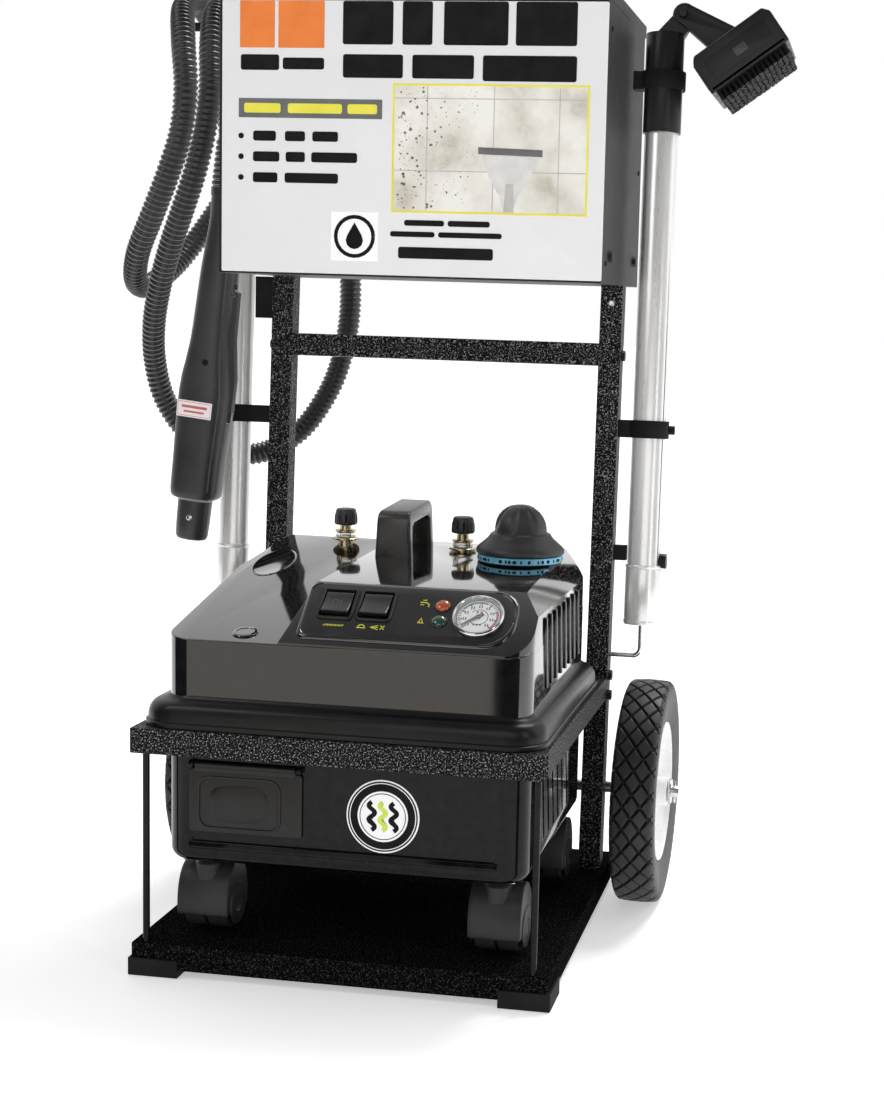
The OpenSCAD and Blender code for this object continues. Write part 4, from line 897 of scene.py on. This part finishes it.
# carry handle: an arch with a broad front post, drawn in a little towards its top
HANDLE_X = -9
handle_outline = [(4, 398), (4, 438), (5, 446), (9, 451), (16, 453), (96, 457), (103, 453), (106, 445), (106, 404),
                  (93, 404), (93, 436), (88, 441), (26, 438), (20, 434), (18, 426), (18, 398)]
handle = prism("carry_arch", handle_outline, -20, 20, "x", HANDLE, "cart", place(HANDLE_X, 0, 0))
for v in handle.data.vertices:
    share = max(0.0, (v.co.z - 0.40) / 0.055)
    middle = at(HANDLE_X, 0, 0).x
    v.co.x = middle + (v.co.x - middle) * (1 - 0.13 * min(share, 1.0))
bevel(handle, 3.2, 4, 25)
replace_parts(handle, "carry_handle")

# plug button on the cover's front edge
plug = lathe("cover_plug", [(0, -3), (11.5, -3), (12.6, -1.4), (12.6, 1.2), (11.8, 2.2), (9.6, 2.6), (8.8, 1.9),
                            (0, 1.9)], GLOSS, place(-105, -182, 347.6, turn("X", 11.2)), steps=56)

# ---------------------------------------------------------------- badge and sign

badge_at = place(44, BODY_FRONT, 180, turn("X", 90))
badge = lathe("badge_disc", [(0, 0), (36.5, 0), (36.5, 0.5), (36.2, 0.8), (0, 0.8)], WHITE, badge_at, steps=72)
for r0, r1, h, mat, name in ((0, 35, 0.9, INK, "badge_dark"), (32.6, 33.4, 1.0, WHITE, "badge_line"),
                             (0, 25.2, 1.0, WHITE, "badge_light"),
                             (22.4, 23.2, 1.1, INK, "badge_inner_line")):
    disc = lathe(name, [(r0, 0.7), (r1, 0.7), (r1, h), (r0, h)], mat, badge_at, steps=72, closed=r0 > 0)
for k in range(3):
    x0 = -11 + 11 * k
    wave = [(x0 + 3.2 * sin(radians(30 * i)), -14 + 28 * i / 24) for i in range(25)]
    band = stroke(wave, 4.4, 1.0, 1.2, (INK, LIME, INK)[k], badge_at, f"badge_wave_{k}")

SIGN_FACE = 8.0


def plate(name, x0, x1, z0, z1, mat, proud=0.35, r=0.6, lift=0.0):
    """A flat printed patch on the sign, its corners just round."""
    outline = rounded((x0, z0), (x1, z1), min(r, (x1 - x0) / 2.1, (z1 - z0) / 2.1), 3)
    return prism(name, outline, SIGN_FACE - proud - lift, SIGN_FACE - lift + 0.05, "y", mat)


BOX_LOW = 701
sign = bevel(prism("sign_board", rounded((-203.6, BOX_LOW + 2), (208, 984.6), 1.5), SIGN_FACE, 11, "y", SIGN), 0.5)
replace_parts(sign, "sign_panel")
orange = [plate("block", -184, -146, 936, 984, ORANGE), plate("block", -142, -92, 936, 984, ORANGE)]
black, yellow = [], []
# words stand as plain bars
for x0, x1, z0, z1 in ((-183, -141, 913, 929), (-137, -92, 914, 926), (-71.5, -7, 906, 930), (3, 68.6, 906, 930),
                       (78, 176.5, 904, 930),
                       (-72, -18, 940, 984), (-8, 24, 940, 984), (36, 104, 940, 984), (112, 176, 940, 984),
                       (-3, 40, 755, 761), (44, 89, 755, 761), (-18, 30, 743.4, 749), (34, 102, 743.4, 749),
                       (-9, 93, 721, 733)):
    black.append(plate("bar", x0, x1, z0, z1, INK, 0.3, 2.4))
for z, ends in ((845, (-169, -144, -134, -112, -104, -76)), (823.5, (-169, -140, -133, -112, -105, -55)),
                (801.8, (-169, -142, -134, -75.5))):
    black.append(plate("dot", -185.3, -179.3, z - 3, z + 3, INK, 0.3, 2.9))
    for k in range(0, len(ends), 2):
        black.append(plate("bar", ends[k], ends[k + 1], z - 5, z + 5.4, INK, 0.3, 2.4))
grey = [plate("heading", -185, -28.6, 864, 884, GREY, 0.25)]
for x0, x1 in ((-179, -139), (-131, -72), (-66, -34)):
    yellow.append(plate("bar", x0, x1, 869, 879, YELLOW, 0.2, 2.2, 0.25))
for x0, x1, z0, z1 in ((-17.3, 191, 898.8, 901), (-17.3, 191, 768.5, 770.7), (-17.3, -15.1, 770.7, 898.8),
                       (188.8, 191, 770.7, 898.8)):
    yellow.append(plate("edge", x0, x1, z0, z1, YELLOW, 0.35))
# the square stands as a plain drop in a ring
white = [plate("square", -82.5, -31, 717, 768, WHITE, 0.25)]
ring = arc(-56.75, 742.5, 20.5, range(0, 361, 15))

black.append(stroke(ring, 4.0, 0.2, 0.5, INK, place(0, SIGN_FACE, 0, turn("X", 90)), "ring"))
drop = [(-56.75, 757), (-64.5, 744), (-66.2, 738.6), (-64.8, 733.6), (-61.2, 730.4), (-56.75, 729.2), (-52.3, 730.4),
        (-48.7, 733.6), (-47.3, 738.6), (-49, 744)]
black.append(prism("drop", drop, SIGN_FACE - 0.5, SIGN_FACE - 0.2, "y", INK))
# picture: tiled wall, dirt at its left, and a squeegee head wiping it clean
picture = plate("picture_wall", -15.1, 188.8, 770.7, 898.8, TILE, 0.2)
tile_joints = merged("picture_joints",
                     [plate("joint", x - 0.5, x + 0.5, 771, 898.5, GROUT, 0.1, 0.2, 0.2) for x in (20, 91, 160)]
                     + [plate("joint", -15, 188.6, z - 0.5, z + 0.5, GROUT, 0.1, 0.2, 0.2) for z in (812, 886)])
specks = []
for k in range(230):
    spread = random.random() ** 1.5
    x = -13 + 92 * spread + 6 * random.random()
    z = 773 + 124 * random.random()
    if x > 70 and z < 842:
        continue
    r = 0.35 + 1.5 * random.random() ** 3 * (1.2 - spread)
    n = 5 + k % 3
    a0 = random.random() * 6
    specks.append(prism("speck", [(x + r * (0.7 + 0.5 * random.random()) * cos(a0 + 2 * pi * i / n),
                                   z + r * (0.7 + 0.5 * random.random()) * sin(a0 + 2 * pi * i / n))
                                  for i in range(n)],
                        SIGN_FACE - 0.42, SIGN_FACE - 0.25, "y", DIRT))
dirt = merged("picture_dirt", specks)
tool_bar = bevel(prism("picture_bar", [(75, 830), (143, 828), (143, 835), (75, 837)], SIGN_FACE - 0.8,
                       SIGN_FACE - 0.2, "y", GREY), 0.2)
tool_body = prism("picture_tool", [(79, 829), (139, 827), (130, 806), (118, 788), (113, 771), (103, 771), (98, 788),
                                   (87, 806)], SIGN_FACE - 0.6, SIGN_FACE - 0.2, "y", HAZE)
tool_stem = prism("picture_stem", [(105, 800), (113, 800), (114, 771), (103, 771)], SIGN_FACE - 0.75, SIGN_FACE - 0.2,
                  "y", GROUT)
prints = [merged("print_" + name, group) for name, group in
          (("orange", orange), ("ink", black), ("yellow", yellow), ("grey", grey), ("white", white))]
# the glossy deck mirrors the studio, not the box and the hose above it
for piece in [hose, sign, picture, tile_joints, dirt, tool_bar, tool_body, tool_stem, nodes["box_shell"],
              nodes["box_lid"]] + prints:
    piece.visible_glossy = False

# ---------------------------------------------------------------- wheels

AXLE_Y, AXLE_Z, WHEEL_X = 155, 127, 254.5
TREAD_ROWS = 30


def tyre(name, side, body):
    """Tyre with a deep diamond tread and lugs round its shoulders."""
    shoulder = ((80, 20), (92, 22.6), (104, 24.4), (110, 25), (116, 24.9), (120.5, 24.1), (123.6, 22.6),
                (125.5, 20.6))
    across, count = 18.6, 42
    crown = [-across + 2 * across * k / count for k in range(count + 1)]
    section = [(r, -x) for r, x in shoulder] + [(126.95 - 1.1 * (x / across) ** 2, x)
                                                for x in crown] + list(shoulder[::-1])
    around = 720
    rings = []
    centre = at(side * WHEEL_X, AXLE_Y, AXLE_Z)
    for i in range(around):
        a = 2 * pi * i / around
        u = i / around * TREAD_ROWS
        ring = []
        for r, x in section:
            v = x / 19.5
            one, other = abs((u + v) % 1.0 - 0.5), abs((u - v) % 1.0 - 0.5)
            groove = max(0.0, 1 - min(0.5 - one, 0.5 - other) / 0.085)
            depth = 0.0
            if abs(x) < 22.7 and r > 120:
                depth = 3.4 * min(1.0, groove * 1.7)
            elif r > 108 and abs((u * 2) % 1.0 - 0.5) > 0.34:
                depth = 1.8
            ring.append(centre + Vector((x, (r - depth) * cos(a), (r - depth) * sin(a))) / 1000)
        rings.append(ring)
    n = len(section)
    verts = [p for ring in rings for p in ring]
    faces = [[i * n + k, i * n + (k + 1) % n, ((i + 1) % around) * n + (k + 1) % n, ((i + 1) % around) * n + k]
             for i in range(around) for k in range(n)]
    obj = make(name, verts, faces, TREAD, body, 40)
    return obj


def rim(name, side, body):
    m = place(side * WHEEL_X, AXLE_Y, AXLE_Z, turn("Y", side * 90))
    w = 20
    disc = lathe(name, [(6.4, -29), (16, -29), (17, -28), (17, 3), (19, 3.6), (50, 3.6), (60, 3), (66, -1), (70, -9),
                        (74, -15), (76.6, -w), (79.3, -w), (79.3, w), (78.6, w + 0.8), (76.8, w + 0.6), (75.4, 17),
                        (72.6, 13.6), (68.6, 10.4), (64, 8.2), (54, 7.6), (22, 7.8), (18, 8.6), (17, 11), (17, 24.6),
                        (16, 25.6), (6.4, 25.6)], RIM, m, body, 96, 25, closed=True)
    return disc


for side, word in ((-1, "left"), (1, "right")):
    body = word + "_wheel"
    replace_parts(tyre(word + "_tread", side, body), word + "_tyre")
    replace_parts(rim(word + "_disc", side, body), word + "_rim")

# ---------------------------------------------------------------- casters

CASTER_TRAIL, CASTER_AXLE = 13, 63


def hood_outline(middle, half, high, angles):
    """Side view of a hood: round above the axle, short below it."""
    points = []
    for a in angles:
        s = sin(radians(a))
        rise = high * abs(s) ** 0.8 if s > 0 else 29 * s
        points.append((middle + half * cos(radians(a)), CASTER_AXLE + rise))
    return points


for i, (x, y) in enumerate(((-148, -166), (152, -166), (-148, 70), (152, 70)), 1):
    fork, roller = f"caster_{i}_fork", f"caster_{i}_roller"
    yc = y + CASTER_TRAIL
    outline = hood_outline(yc, 30, 45, range(-14, 195, 8)) + hood_outline(yc, 26.4, 26.4, range(194, -15, -8))
    hood = prism(f"caster_{i}_cover", outline, -25.9, 25.9, "x", CASTER, fork, place(x, 0, 0))
    bevel(hood, 1.6, 3, 40)
    cheeks = [hood]
    for s in (-1, 1):
        outline = hood_outline(yc, 29, 44, range(-16, 197, 8))
        cheek = prism("cheek", outline, s * 26 - 1.4, s * 26 + 1.4 - max(0, s) * 1.4 + min(0, s) * -1.4, "x", CASTER,
                      fork, place(x, 0, 0))
        cheeks.append(bevel(cheek, 0.6))
        cheeks.append(lathe("cheek_disc", [(0, -0.6), (20, -0.6), (21.4, 0.2), (20.6, 1.4), (8.4, 1.9), (7.4, 1.2),
                                           (6.4, 0.8), (0, 0.8)], CASTER,
                            place(x + s * 25.8, yc, CASTER_AXLE, turn("Y", s * 90)), fork, 48))
    stem = lathe("stem", [(0, 92), (13, 92), (13, 108), (10, 110.5), (5, 111.4), (5, 134), (0, 134)], CASTER,
                 place(x, y, 0), fork, 40)
    hood = merged(f"caster_{i}_cover", cheeks + [stem], fork)
    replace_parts(hood, f"caster_{i}_hood")
    wheel = lathe(f"caster_{i}_tread", [(0, -25.5), (3, -25.5), (3, -22), (20, -22), (23.6, -21.6), (24.8, -20),
                                        (25, -17), (25, -3), (24, -1.6), (20, -1), (20, 1), (24, 1.6), (25, 3),
                                        (25, 17), (24.8, 20), (23.6, 21.6), (20, 22), (3, 22), (3, 25.5), (0, 25.5)],
                  CASTER, place(x, yc, CASTER_AXLE, turn("Y", 90)), roller, 56)
    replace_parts(wheel, f"caster_{i}_wheel")
    top_plate = bevel(prism(f"caster_{i}_plate", rounded((x - 19, y - 15), (x + 19, y + 15), 4), 114.4, 117.8, "z",
                            CHROME), 0.6)
    bore(top_plate, 7, 100, 130, place(x, y, 0))

# ---------------------------------------------------------------- handset

HAND_LOW, HAND_HIGH = Vector((-281, 118, 396)), Vector((-240, 118, 770))
hand_tilt = degrees(atan2(HAND_HIGH.x - HAND_LOW.x, HAND_HIGH.z - HAND_LOW.z))
HAND = place(*HAND_LOW, turn("Y", hand_tilt))


def hand_ring(z, x0, x1, half, square=2.6, steps=44):
    cx, hx = (x0 + x1) / 2, (x1 - x0) / 2
    ring = []
    for k in range(steps):
        a = 2 * pi * k / steps
        c, s = cos(a), sin(a)
        ring.append(HAND @ Vector((cx + hx * squared(c, 2 / square), half * squared(s, 2 / square), z)))
    return ring


# rings from the nozzle up: (height, left, right, half depth, squareness)
hand_shape = [(0, -13, 13, 11, 2.2), (0.6, -15.6, 15.6, 13, 2.2), (1.6, -17, 17, 14.6, 2.2), (5, -18, 18, 16, 2.3),
              (20, -18.6, 18.6, 17, 2.4), (46, -19, 19, 17.5, 2.5), (47.4, -20.6, 20.4, 19, 2.6),
              (49.6, -25, 25, 23.6, 3.0), (53, -27, 27, 25, 3.2), (60, -27.6, 27.4, 25.6, 3.3),
              (90, -28, 27.6, 26, 3.3), (120, -29, 28.6, 26, 3.2), (150, -30, 29.6, 26, 3.1),
              (172, -30, 29.4, 25.6, 3.0), (188, -29, 27.6, 25, 2.9), (206, -26.4, 25, 24, 2.8),
              (226, -23.8, 22.8, 23, 2.7), (246, -22.6, 21.8, 22, 2.6), (280, -21.6, 21.2, 21.4, 2.5),
              (310, -20.6, 20.4, 20.6, 2.4), (340, -18.6, 18.6, 19, 2.3), (362, -17.4, 17.4, 17.6, 2.1),
              (372, -17.6, 17.6, 17.6, 2.0), (384, -18, 18, 18, 2.0), (398, -18, 18, 18, 2.0),
              (400, -17, 17, 17, 2.0)]
handset = loft("handset_body", [hand_ring(*row) for row in hand_shape], HANDSET, "cart", 40)
cut(handset, prism("slot", [(8, 139), (44, 139), (44, 297), (13, 297), (13, 270)], -5.8, 5.8, "y", HANDSET, None,
                   HAND), 35)
seam = []
for side in (-1, 1):
    line = [HAND @ Vector((x1 - 5.6, side * (half + 0.1), z)) for z, x0, x1, half, square in hand_shape
            if 55 < z < 360]
    seam.append(loft("seam", [[p + Vector((dx, side * dy, 0)) / 1000
                               for dx, dy in ((-0.9, -1.6), (-0.5, 0.5), (0.5, 0.5), (0.9, -1.6))]
                              for p in line], HANDSET))
seams = merged("handset_seams", seam)
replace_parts(handset, "handset_shell")
bore(handset, 6, -2, 28, HAND, 35)


def hand_place(x, depth, z):
    """On the front of the handset, its z axis pointing out of it."""
    return HAND @ Matrix.Translation(Vector((x, -depth, z))) @ turn("X", 90).to_4x4()


rivet = lathe("handset_rivet", [(0, -1), (3.1, -1), (3.1, 0.6), (2.3, 1.3), (0, 1.6)], CHROME,
              hand_place(1, 17.2, 27), steps=24)
screw = lathe("handset_screw", [(0, -1), (4, -1), (4, 0.1), (3.2, 0.5), (1.2, 0.4), (0, 0.4)], INK,
              hand_place(3, 23.6, 206), steps=24)
label = prism("handset_label", rounded((-20.5, -9.4), (20.5, 9.4), 0.8, 2), 0, 0.7, "z", LABEL, "cart",
              hand_place(-3, 25.7, 152))
label_lines = [stroke(points, width, 0.6, 0.85, LABEL_RED, hand_place(-3, 25.7, 152)) for points, width in
               (([(-19, -7.8), (19, -7.8), (19, 7.8), (-19, 7.8), (-19, -7.8)], 0.5), ([(-15, 2.6), (15, 2.6)], 3.0),
                ([(-12, -3.0), (12, -3.0)], 2.2))]
lines = merged("handset_label_lines", label_lines)
relief_profile = [(12, -6), (18.2, -6)]
for k in range(9):
    r = 18.4 - 0.38 * k
    relief_profile += [(r, 6.4 * k), (r, 6.4 * k + 3.8), (r - 1.7, 6.4 * k + 4.6), (r - 1.8, 6.4 * k + 5.8)]
relief_profile += [(14.4, 58), (12, 58)]
relief = lathe("hose_relief", relief_profile, HOSE, place(-238.6, 118, 793, turn("Y", 3)), steps=40, closed=True)

# ---------------------------------------------------------------- brush head

HEAD_CORNER, HEAD_TILT, HEAD_L, HEAD_T, BRISTLE_T, HEAD_HALF = (310, 899), 36, 100, 45, 12, 75
PIVOT = (262, 1003)


def upright_y(z):
    """Middle of the leaning uprights at a height."""
    return 136.8 + (z - 33) * tan(radians(3.6))


TUBE_GAP = 12.5
head_y = upright_y(PIVOT[1]) + TUBE_GAP
HEAD = place(HEAD_CORNER[0], head_y, HEAD_CORNER[1], turn("Y", -HEAD_TILT))
block = bevel(prism("head_block", [(0.5, BRISTLE_T), (HEAD_L, BRISTLE_T), (HEAD_L, BRISTLE_T + HEAD_T - 7),
                                   (HEAD_L - 6, BRISTLE_T + HEAD_T),
                                   (6, BRISTLE_T + HEAD_T), (0.5, BRISTLE_T + HEAD_T - 7)], -HEAD_HALF, HEAD_HALF,
                    "y", TOOL, "brush", HEAD), 2.4, 4)
rim_band = bevel(prism("head_rim", rounded((0, -HEAD_HALF), (HEAD_L, HEAD_HALF), 4), BRISTLE_T, BRISTLE_T + 6, "z",
                       TOOL, "brush", HEAD), 1.2)
inset_front = bevel(prism("head_front_panel", rounded((12, 22), (HEAD_L - 12, 46), 4), -HEAD_HALF - 0.8,
                          -HEAD_HALF + 1, "y", TOOL, "brush", HEAD), 0.6)
notch = bevel(prism("head_front_mark", rounded((44, 29), (60, 39), 2), -HEAD_HALF - 1.6, -HEAD_HALF, "y", HANDSET,
                    "brush", HEAD), 0.5)
end_strip = bevel(prism("head_end_strip", rounded((-HEAD_HALF + 8, 18), (HEAD_HALF - 8, 50), 3), -0.6, 1.5, "x",
                        CASTER, "brush", HEAD), 0.5)
arms = []
for low, high in ((-16, -7.5), (7.5, 16)):
    ring = arc(*PIVOT, 11, range(80, 271, 15))
    arm = prism("arm", ring + [(HEAD_CORNER[0] + 2, HEAD_CORNER[1] + 50), (HEAD_CORNER[0] + 40, HEAD_CORNER[1] + 76),
                               (PIVOT[0] + 5, PIVOT[1] + 10.8)],
                head_y + low, head_y + high, "y", TOOL, "brush")
    bore(arm, 4.1, -40, 40, place(PIVOT[0], head_y, PIVOT[1], turn("X", 90)), 35)
    arms.append(bevel(arm, 1.0, 2, 40))
head = merged("brush_head_body", [block, rim_band, inset_front, notch, end_strip] + arms, "brush")
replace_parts(head, "brush_head")
base_plate = prism("tuft_base", rounded((5, -HEAD_HALF + 5), (HEAD_L - 5, HEAD_HALF - 5), 3), BRISTLE_T - 1.2,
                   BRISTLE_T + 1, "z", BRISTLE, "brush", HEAD)
SIX = [radians(60 * k) for k in range(6)]
verts, faces = [], []
for ix in range(15):
    for iy in range(24):
        x = 8 + ix * (HEAD_L - 16) / 14 + 0.4 * random.uniform(-1, 1)
        y = -HEAD_HALF + 8 + iy * (2 * HEAD_HALF - 16) / 23 + 0.4 * random.uniform(-1, 1)
        lean_x, lean_y = 0.5 * random.uniform(-1, 1), 0.5 * random.uniform(-1, 1)
        first = len(verts)
        verts += [HEAD @ Vector((x + lean_x + 3.0 * cos(a), y + lean_y + 3.0 * sin(a), 0.2 + 0.8 * random.random()))
                  for a in SIX]
        verts += [HEAD @ Vector((x + 1.9 * cos(a), y + 1.9 * sin(a), BRISTLE_T)) for a in SIX]
        faces += [[first + k for k in range(6)], [first + 6 + k for k in range(6)]]
        faces += [[first + k, first + (k + 1) % 6, first + 6 + (k + 1) % 6, first + 6 + k] for k in range(6)]
bristles = merged("brush_tufts", [base_plate, make("tufts", verts, faces, BRISTLE, "brush")], "brush")
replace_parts(bristles, "brush_bristles")

# rings on the wand tubes and screws on the frame
for name, x, s, r in (("right_collar", 241, 66, 20.6), ("right_collar_low", 241, 3, 20.6),
                      ("left_collar", -250, 66, 18.4)):
    body = "right_wand" if x > 0 else "left_wand"
    z = 318 + s
    ring = lathe(name, [(r - 1.6, -2), (r - 0.2, -2), (r + 0.3, -1), (r + 0.3, 1), (r - 0.2, 2), (r - 1.6, 2)], ALU,
                 place(x, upright_y(z) + TUBE_GAP, z, turn("X", -3.6)), body, 48, closed=True)
screw_head = [(0, -0.4), (3.0, -0.4), (3.0, 0.6), (2.2, 1.3), (0, 1.5)]
side_screws = merged("box_screws", [lathe("screw", screw_head, INK, place(207.5, y, z, turn("Y", 90)), "cart", 20)
                                    for y, z in ((36, 722), (262, 832), (36, 962))])
upright_bolt = lathe("upright_bolt", [(0, -1), (3.6, -1), (3.6, 0.8), (2.6, 1.8), (0, 2.2)], STEEL,
                     place(193.5, upright_y(681), 681, turn("X", 90)), "cart", 24)
for piece in (handset, seams, label, lines, rivet, screw, relief, nodes["left_wand_tube"], nodes["handset_trigger"],
              nodes["wand_clips"],
              nodes["hose_hook"], nodes["steam_plug"]):
    piece.visible_glossy = False

# ---------------------------------------------------------------- carried-over CAD nodes

def finish_cad(mat, *names, edge=0.0, segments=2):
    """Gives CAD nodes a material, and an eased edge where asked."""
    for name in names:
        obj = nodes[name]
        obj.data.materials.clear()
        obj.data.materials.append(mat)
        if edge:
            w = obj.modifiers.new("weld", "WELD")
            w.merge_threshold = 0.00002
            b = obj.modifiers.new("edges", "BEVEL")
            b.width = edge / 1000
            b.segments = segments
            b.limit_method = "ANGLE"
            b.angle_limit = radians(50)
            b.harden_normals = True


finish_cad(TRAY, "base_tray", edge=0.8)
finish_cad(POWDER, "front_rail", "side_rails", "uprights", "cross_bars", "push_handle", edge=0.8)
finish_cad(FOOT, "wand_clips", "hose_hook", edge=0.8)
finish_cad(FOOT, "front_feet", edge=1.2)
finish_cad(STEEL, "axle", "lid_hinge_pin", "boiler", edge=0.3)
finish_cad(BOX, "frame_bolts", edge=0.3)
finish_cad(WIRE, "wand_hooks")
finish_cad(GLOSS_LOW, "rail_rods")
finish_cad(BOX, "box_shell", "box_lid", edge=0.5)
finish_cad(PANEL, "cord_gland", edge=0.5)
finish_cad(GLASS, "gauge_lens")
finish_cad(BRASS, "steam_socket", "heating_element", "solenoid_valve", edge=0.4)
finish_cad(ALU, "left_wand_tube", "right_wand_tube", edge=0.3)
finish_cad(TOOL, "wand_button", "wand_neck", "steam_plug", edge=0.8)
finish_cad(HANDSET, "handset_trigger", edge=0.8)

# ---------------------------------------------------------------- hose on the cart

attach(hose, "cart")

# ---------------------------------------------------------------- floor, light and world

def floor():
    obj = add("floor", bpy.data.meshes.new("floor"))
    with edited(obj.data) as bm:
        bmesh.ops.create_grid(bm, x_segments=1, y_segments=1, size=30)
    obj.location.z = -0.0005
    m = material("floor_paper", 0.88, 0.9)
    vary_color(m, noise(m, 3, 3), [(0.3, 0.87), (0.7, 0.89)])
    shader(m).inputs["Emission Color"].default_value = (1, 1, 1, 1)
    shader(m).inputs["Emission Strength"].default_value = 0.42
    obj.data.materials.append(m)


def area_light(name, spot, aim, size, power):
    light = bpy.data.lights.new(name, "AREA")
    light.shape = "RECTANGLE"
    light.size, light.size_y = size
    light.energy = power
    obj = add(name, light)
    obj.location = spot
    obj.rotation_euler = (Vector(aim) - Vector(spot)).to_track_quat("-Z", "Y").to_euler()


def card(name, foot, mat):
    """A card beside the camera's view, which the glossy cover mirrors."""
    verts = [(x, y, z) for z in (0.0, 0.5) for x, y in foot]
    n = len(foot)
    board = make(name, verts, [[k, k + 1, n + k + 1, n + k] for k in range(n - 1)], mat, None)
    board.visible_camera = False
    board.visible_shadow = False
    board.visible_diffuse = False


floor()
world = bpy.data.worlds.new("studio")
world.use_nodes = True
background = world.node_tree.nodes["Background"]
background.inputs["Color"].default_value = (1, 1, 1, 1)
split = node(world, "ShaderNodeSeparateXYZ")
# dimmer towards the camera, so that the glossy shell stays black there
fade = node(world, "ShaderNodeMapRange", interpolation_type="SMOOTHSTEP",
            **{"From Min": -0.2, "From Max": 0.35, "To Min": 0.2, "To Max": 1.0})
join(world, node(world, "ShaderNodeTexCoord").outputs["Generated"], split.inputs["Vector"])
join(world, split.outputs["Y"], fade.inputs["Value"])
join(world, fade.outputs["Result"], background.inputs["Strength"])
bpy.context.scene.world = world
bpy.context.scene.view_settings.view_transform = "Standard"
area_light("front_box", (0.1, -3.0, 1.3), (0, 0, 0.45), (2.2, 1.5), 14)
area_light("key", (-1.8, -1.6, 2.6), (0, 0, 0.5), (1.2, 1.2), 16)
area_light("side", (2.4, 0.4, 1.5), (0, 0, 0.5), (1.2, 2.0), 5)
area_light("strip", (1.5, -1.2, 0.8), (0.1, 0, 0.5), (0.2, 1.6), 4)
card("left_flag", [(-0.70, -1.13), (-0.98, -0.84), (-1.15, -0.55), (-1.25, -0.25)], FOOT)
card("right_flag", [(-0.02, -1.24), (0.4, -1.22), (0.76, -1.04), (1.01, -0.75)], FOOT)
GLOW = material("card_glow", 0.02, 0.9, specular=0.0)
vary_color(GLOW, noise(GLOW, 4, 2), [(0.3, 0.02), (0.7, 0.03)])
shader(GLOW).inputs["Emission Color"].default_value = (0.95, 0.88, 0.80, 1)
shader(GLOW).inputs["Emission Strength"].default_value = 0.95
card("front_glow", [(-0.70, -1.13), (-0.36, -1.19), (-0.02, -1.24)], GLOW)
sun = bpy.data.lights.new("sun", "SUN")
sun.energy = 1.7
sun.angle = radians(20)
add("sun", sun).rotation_euler = (radians(-30), 0, radians(-20))
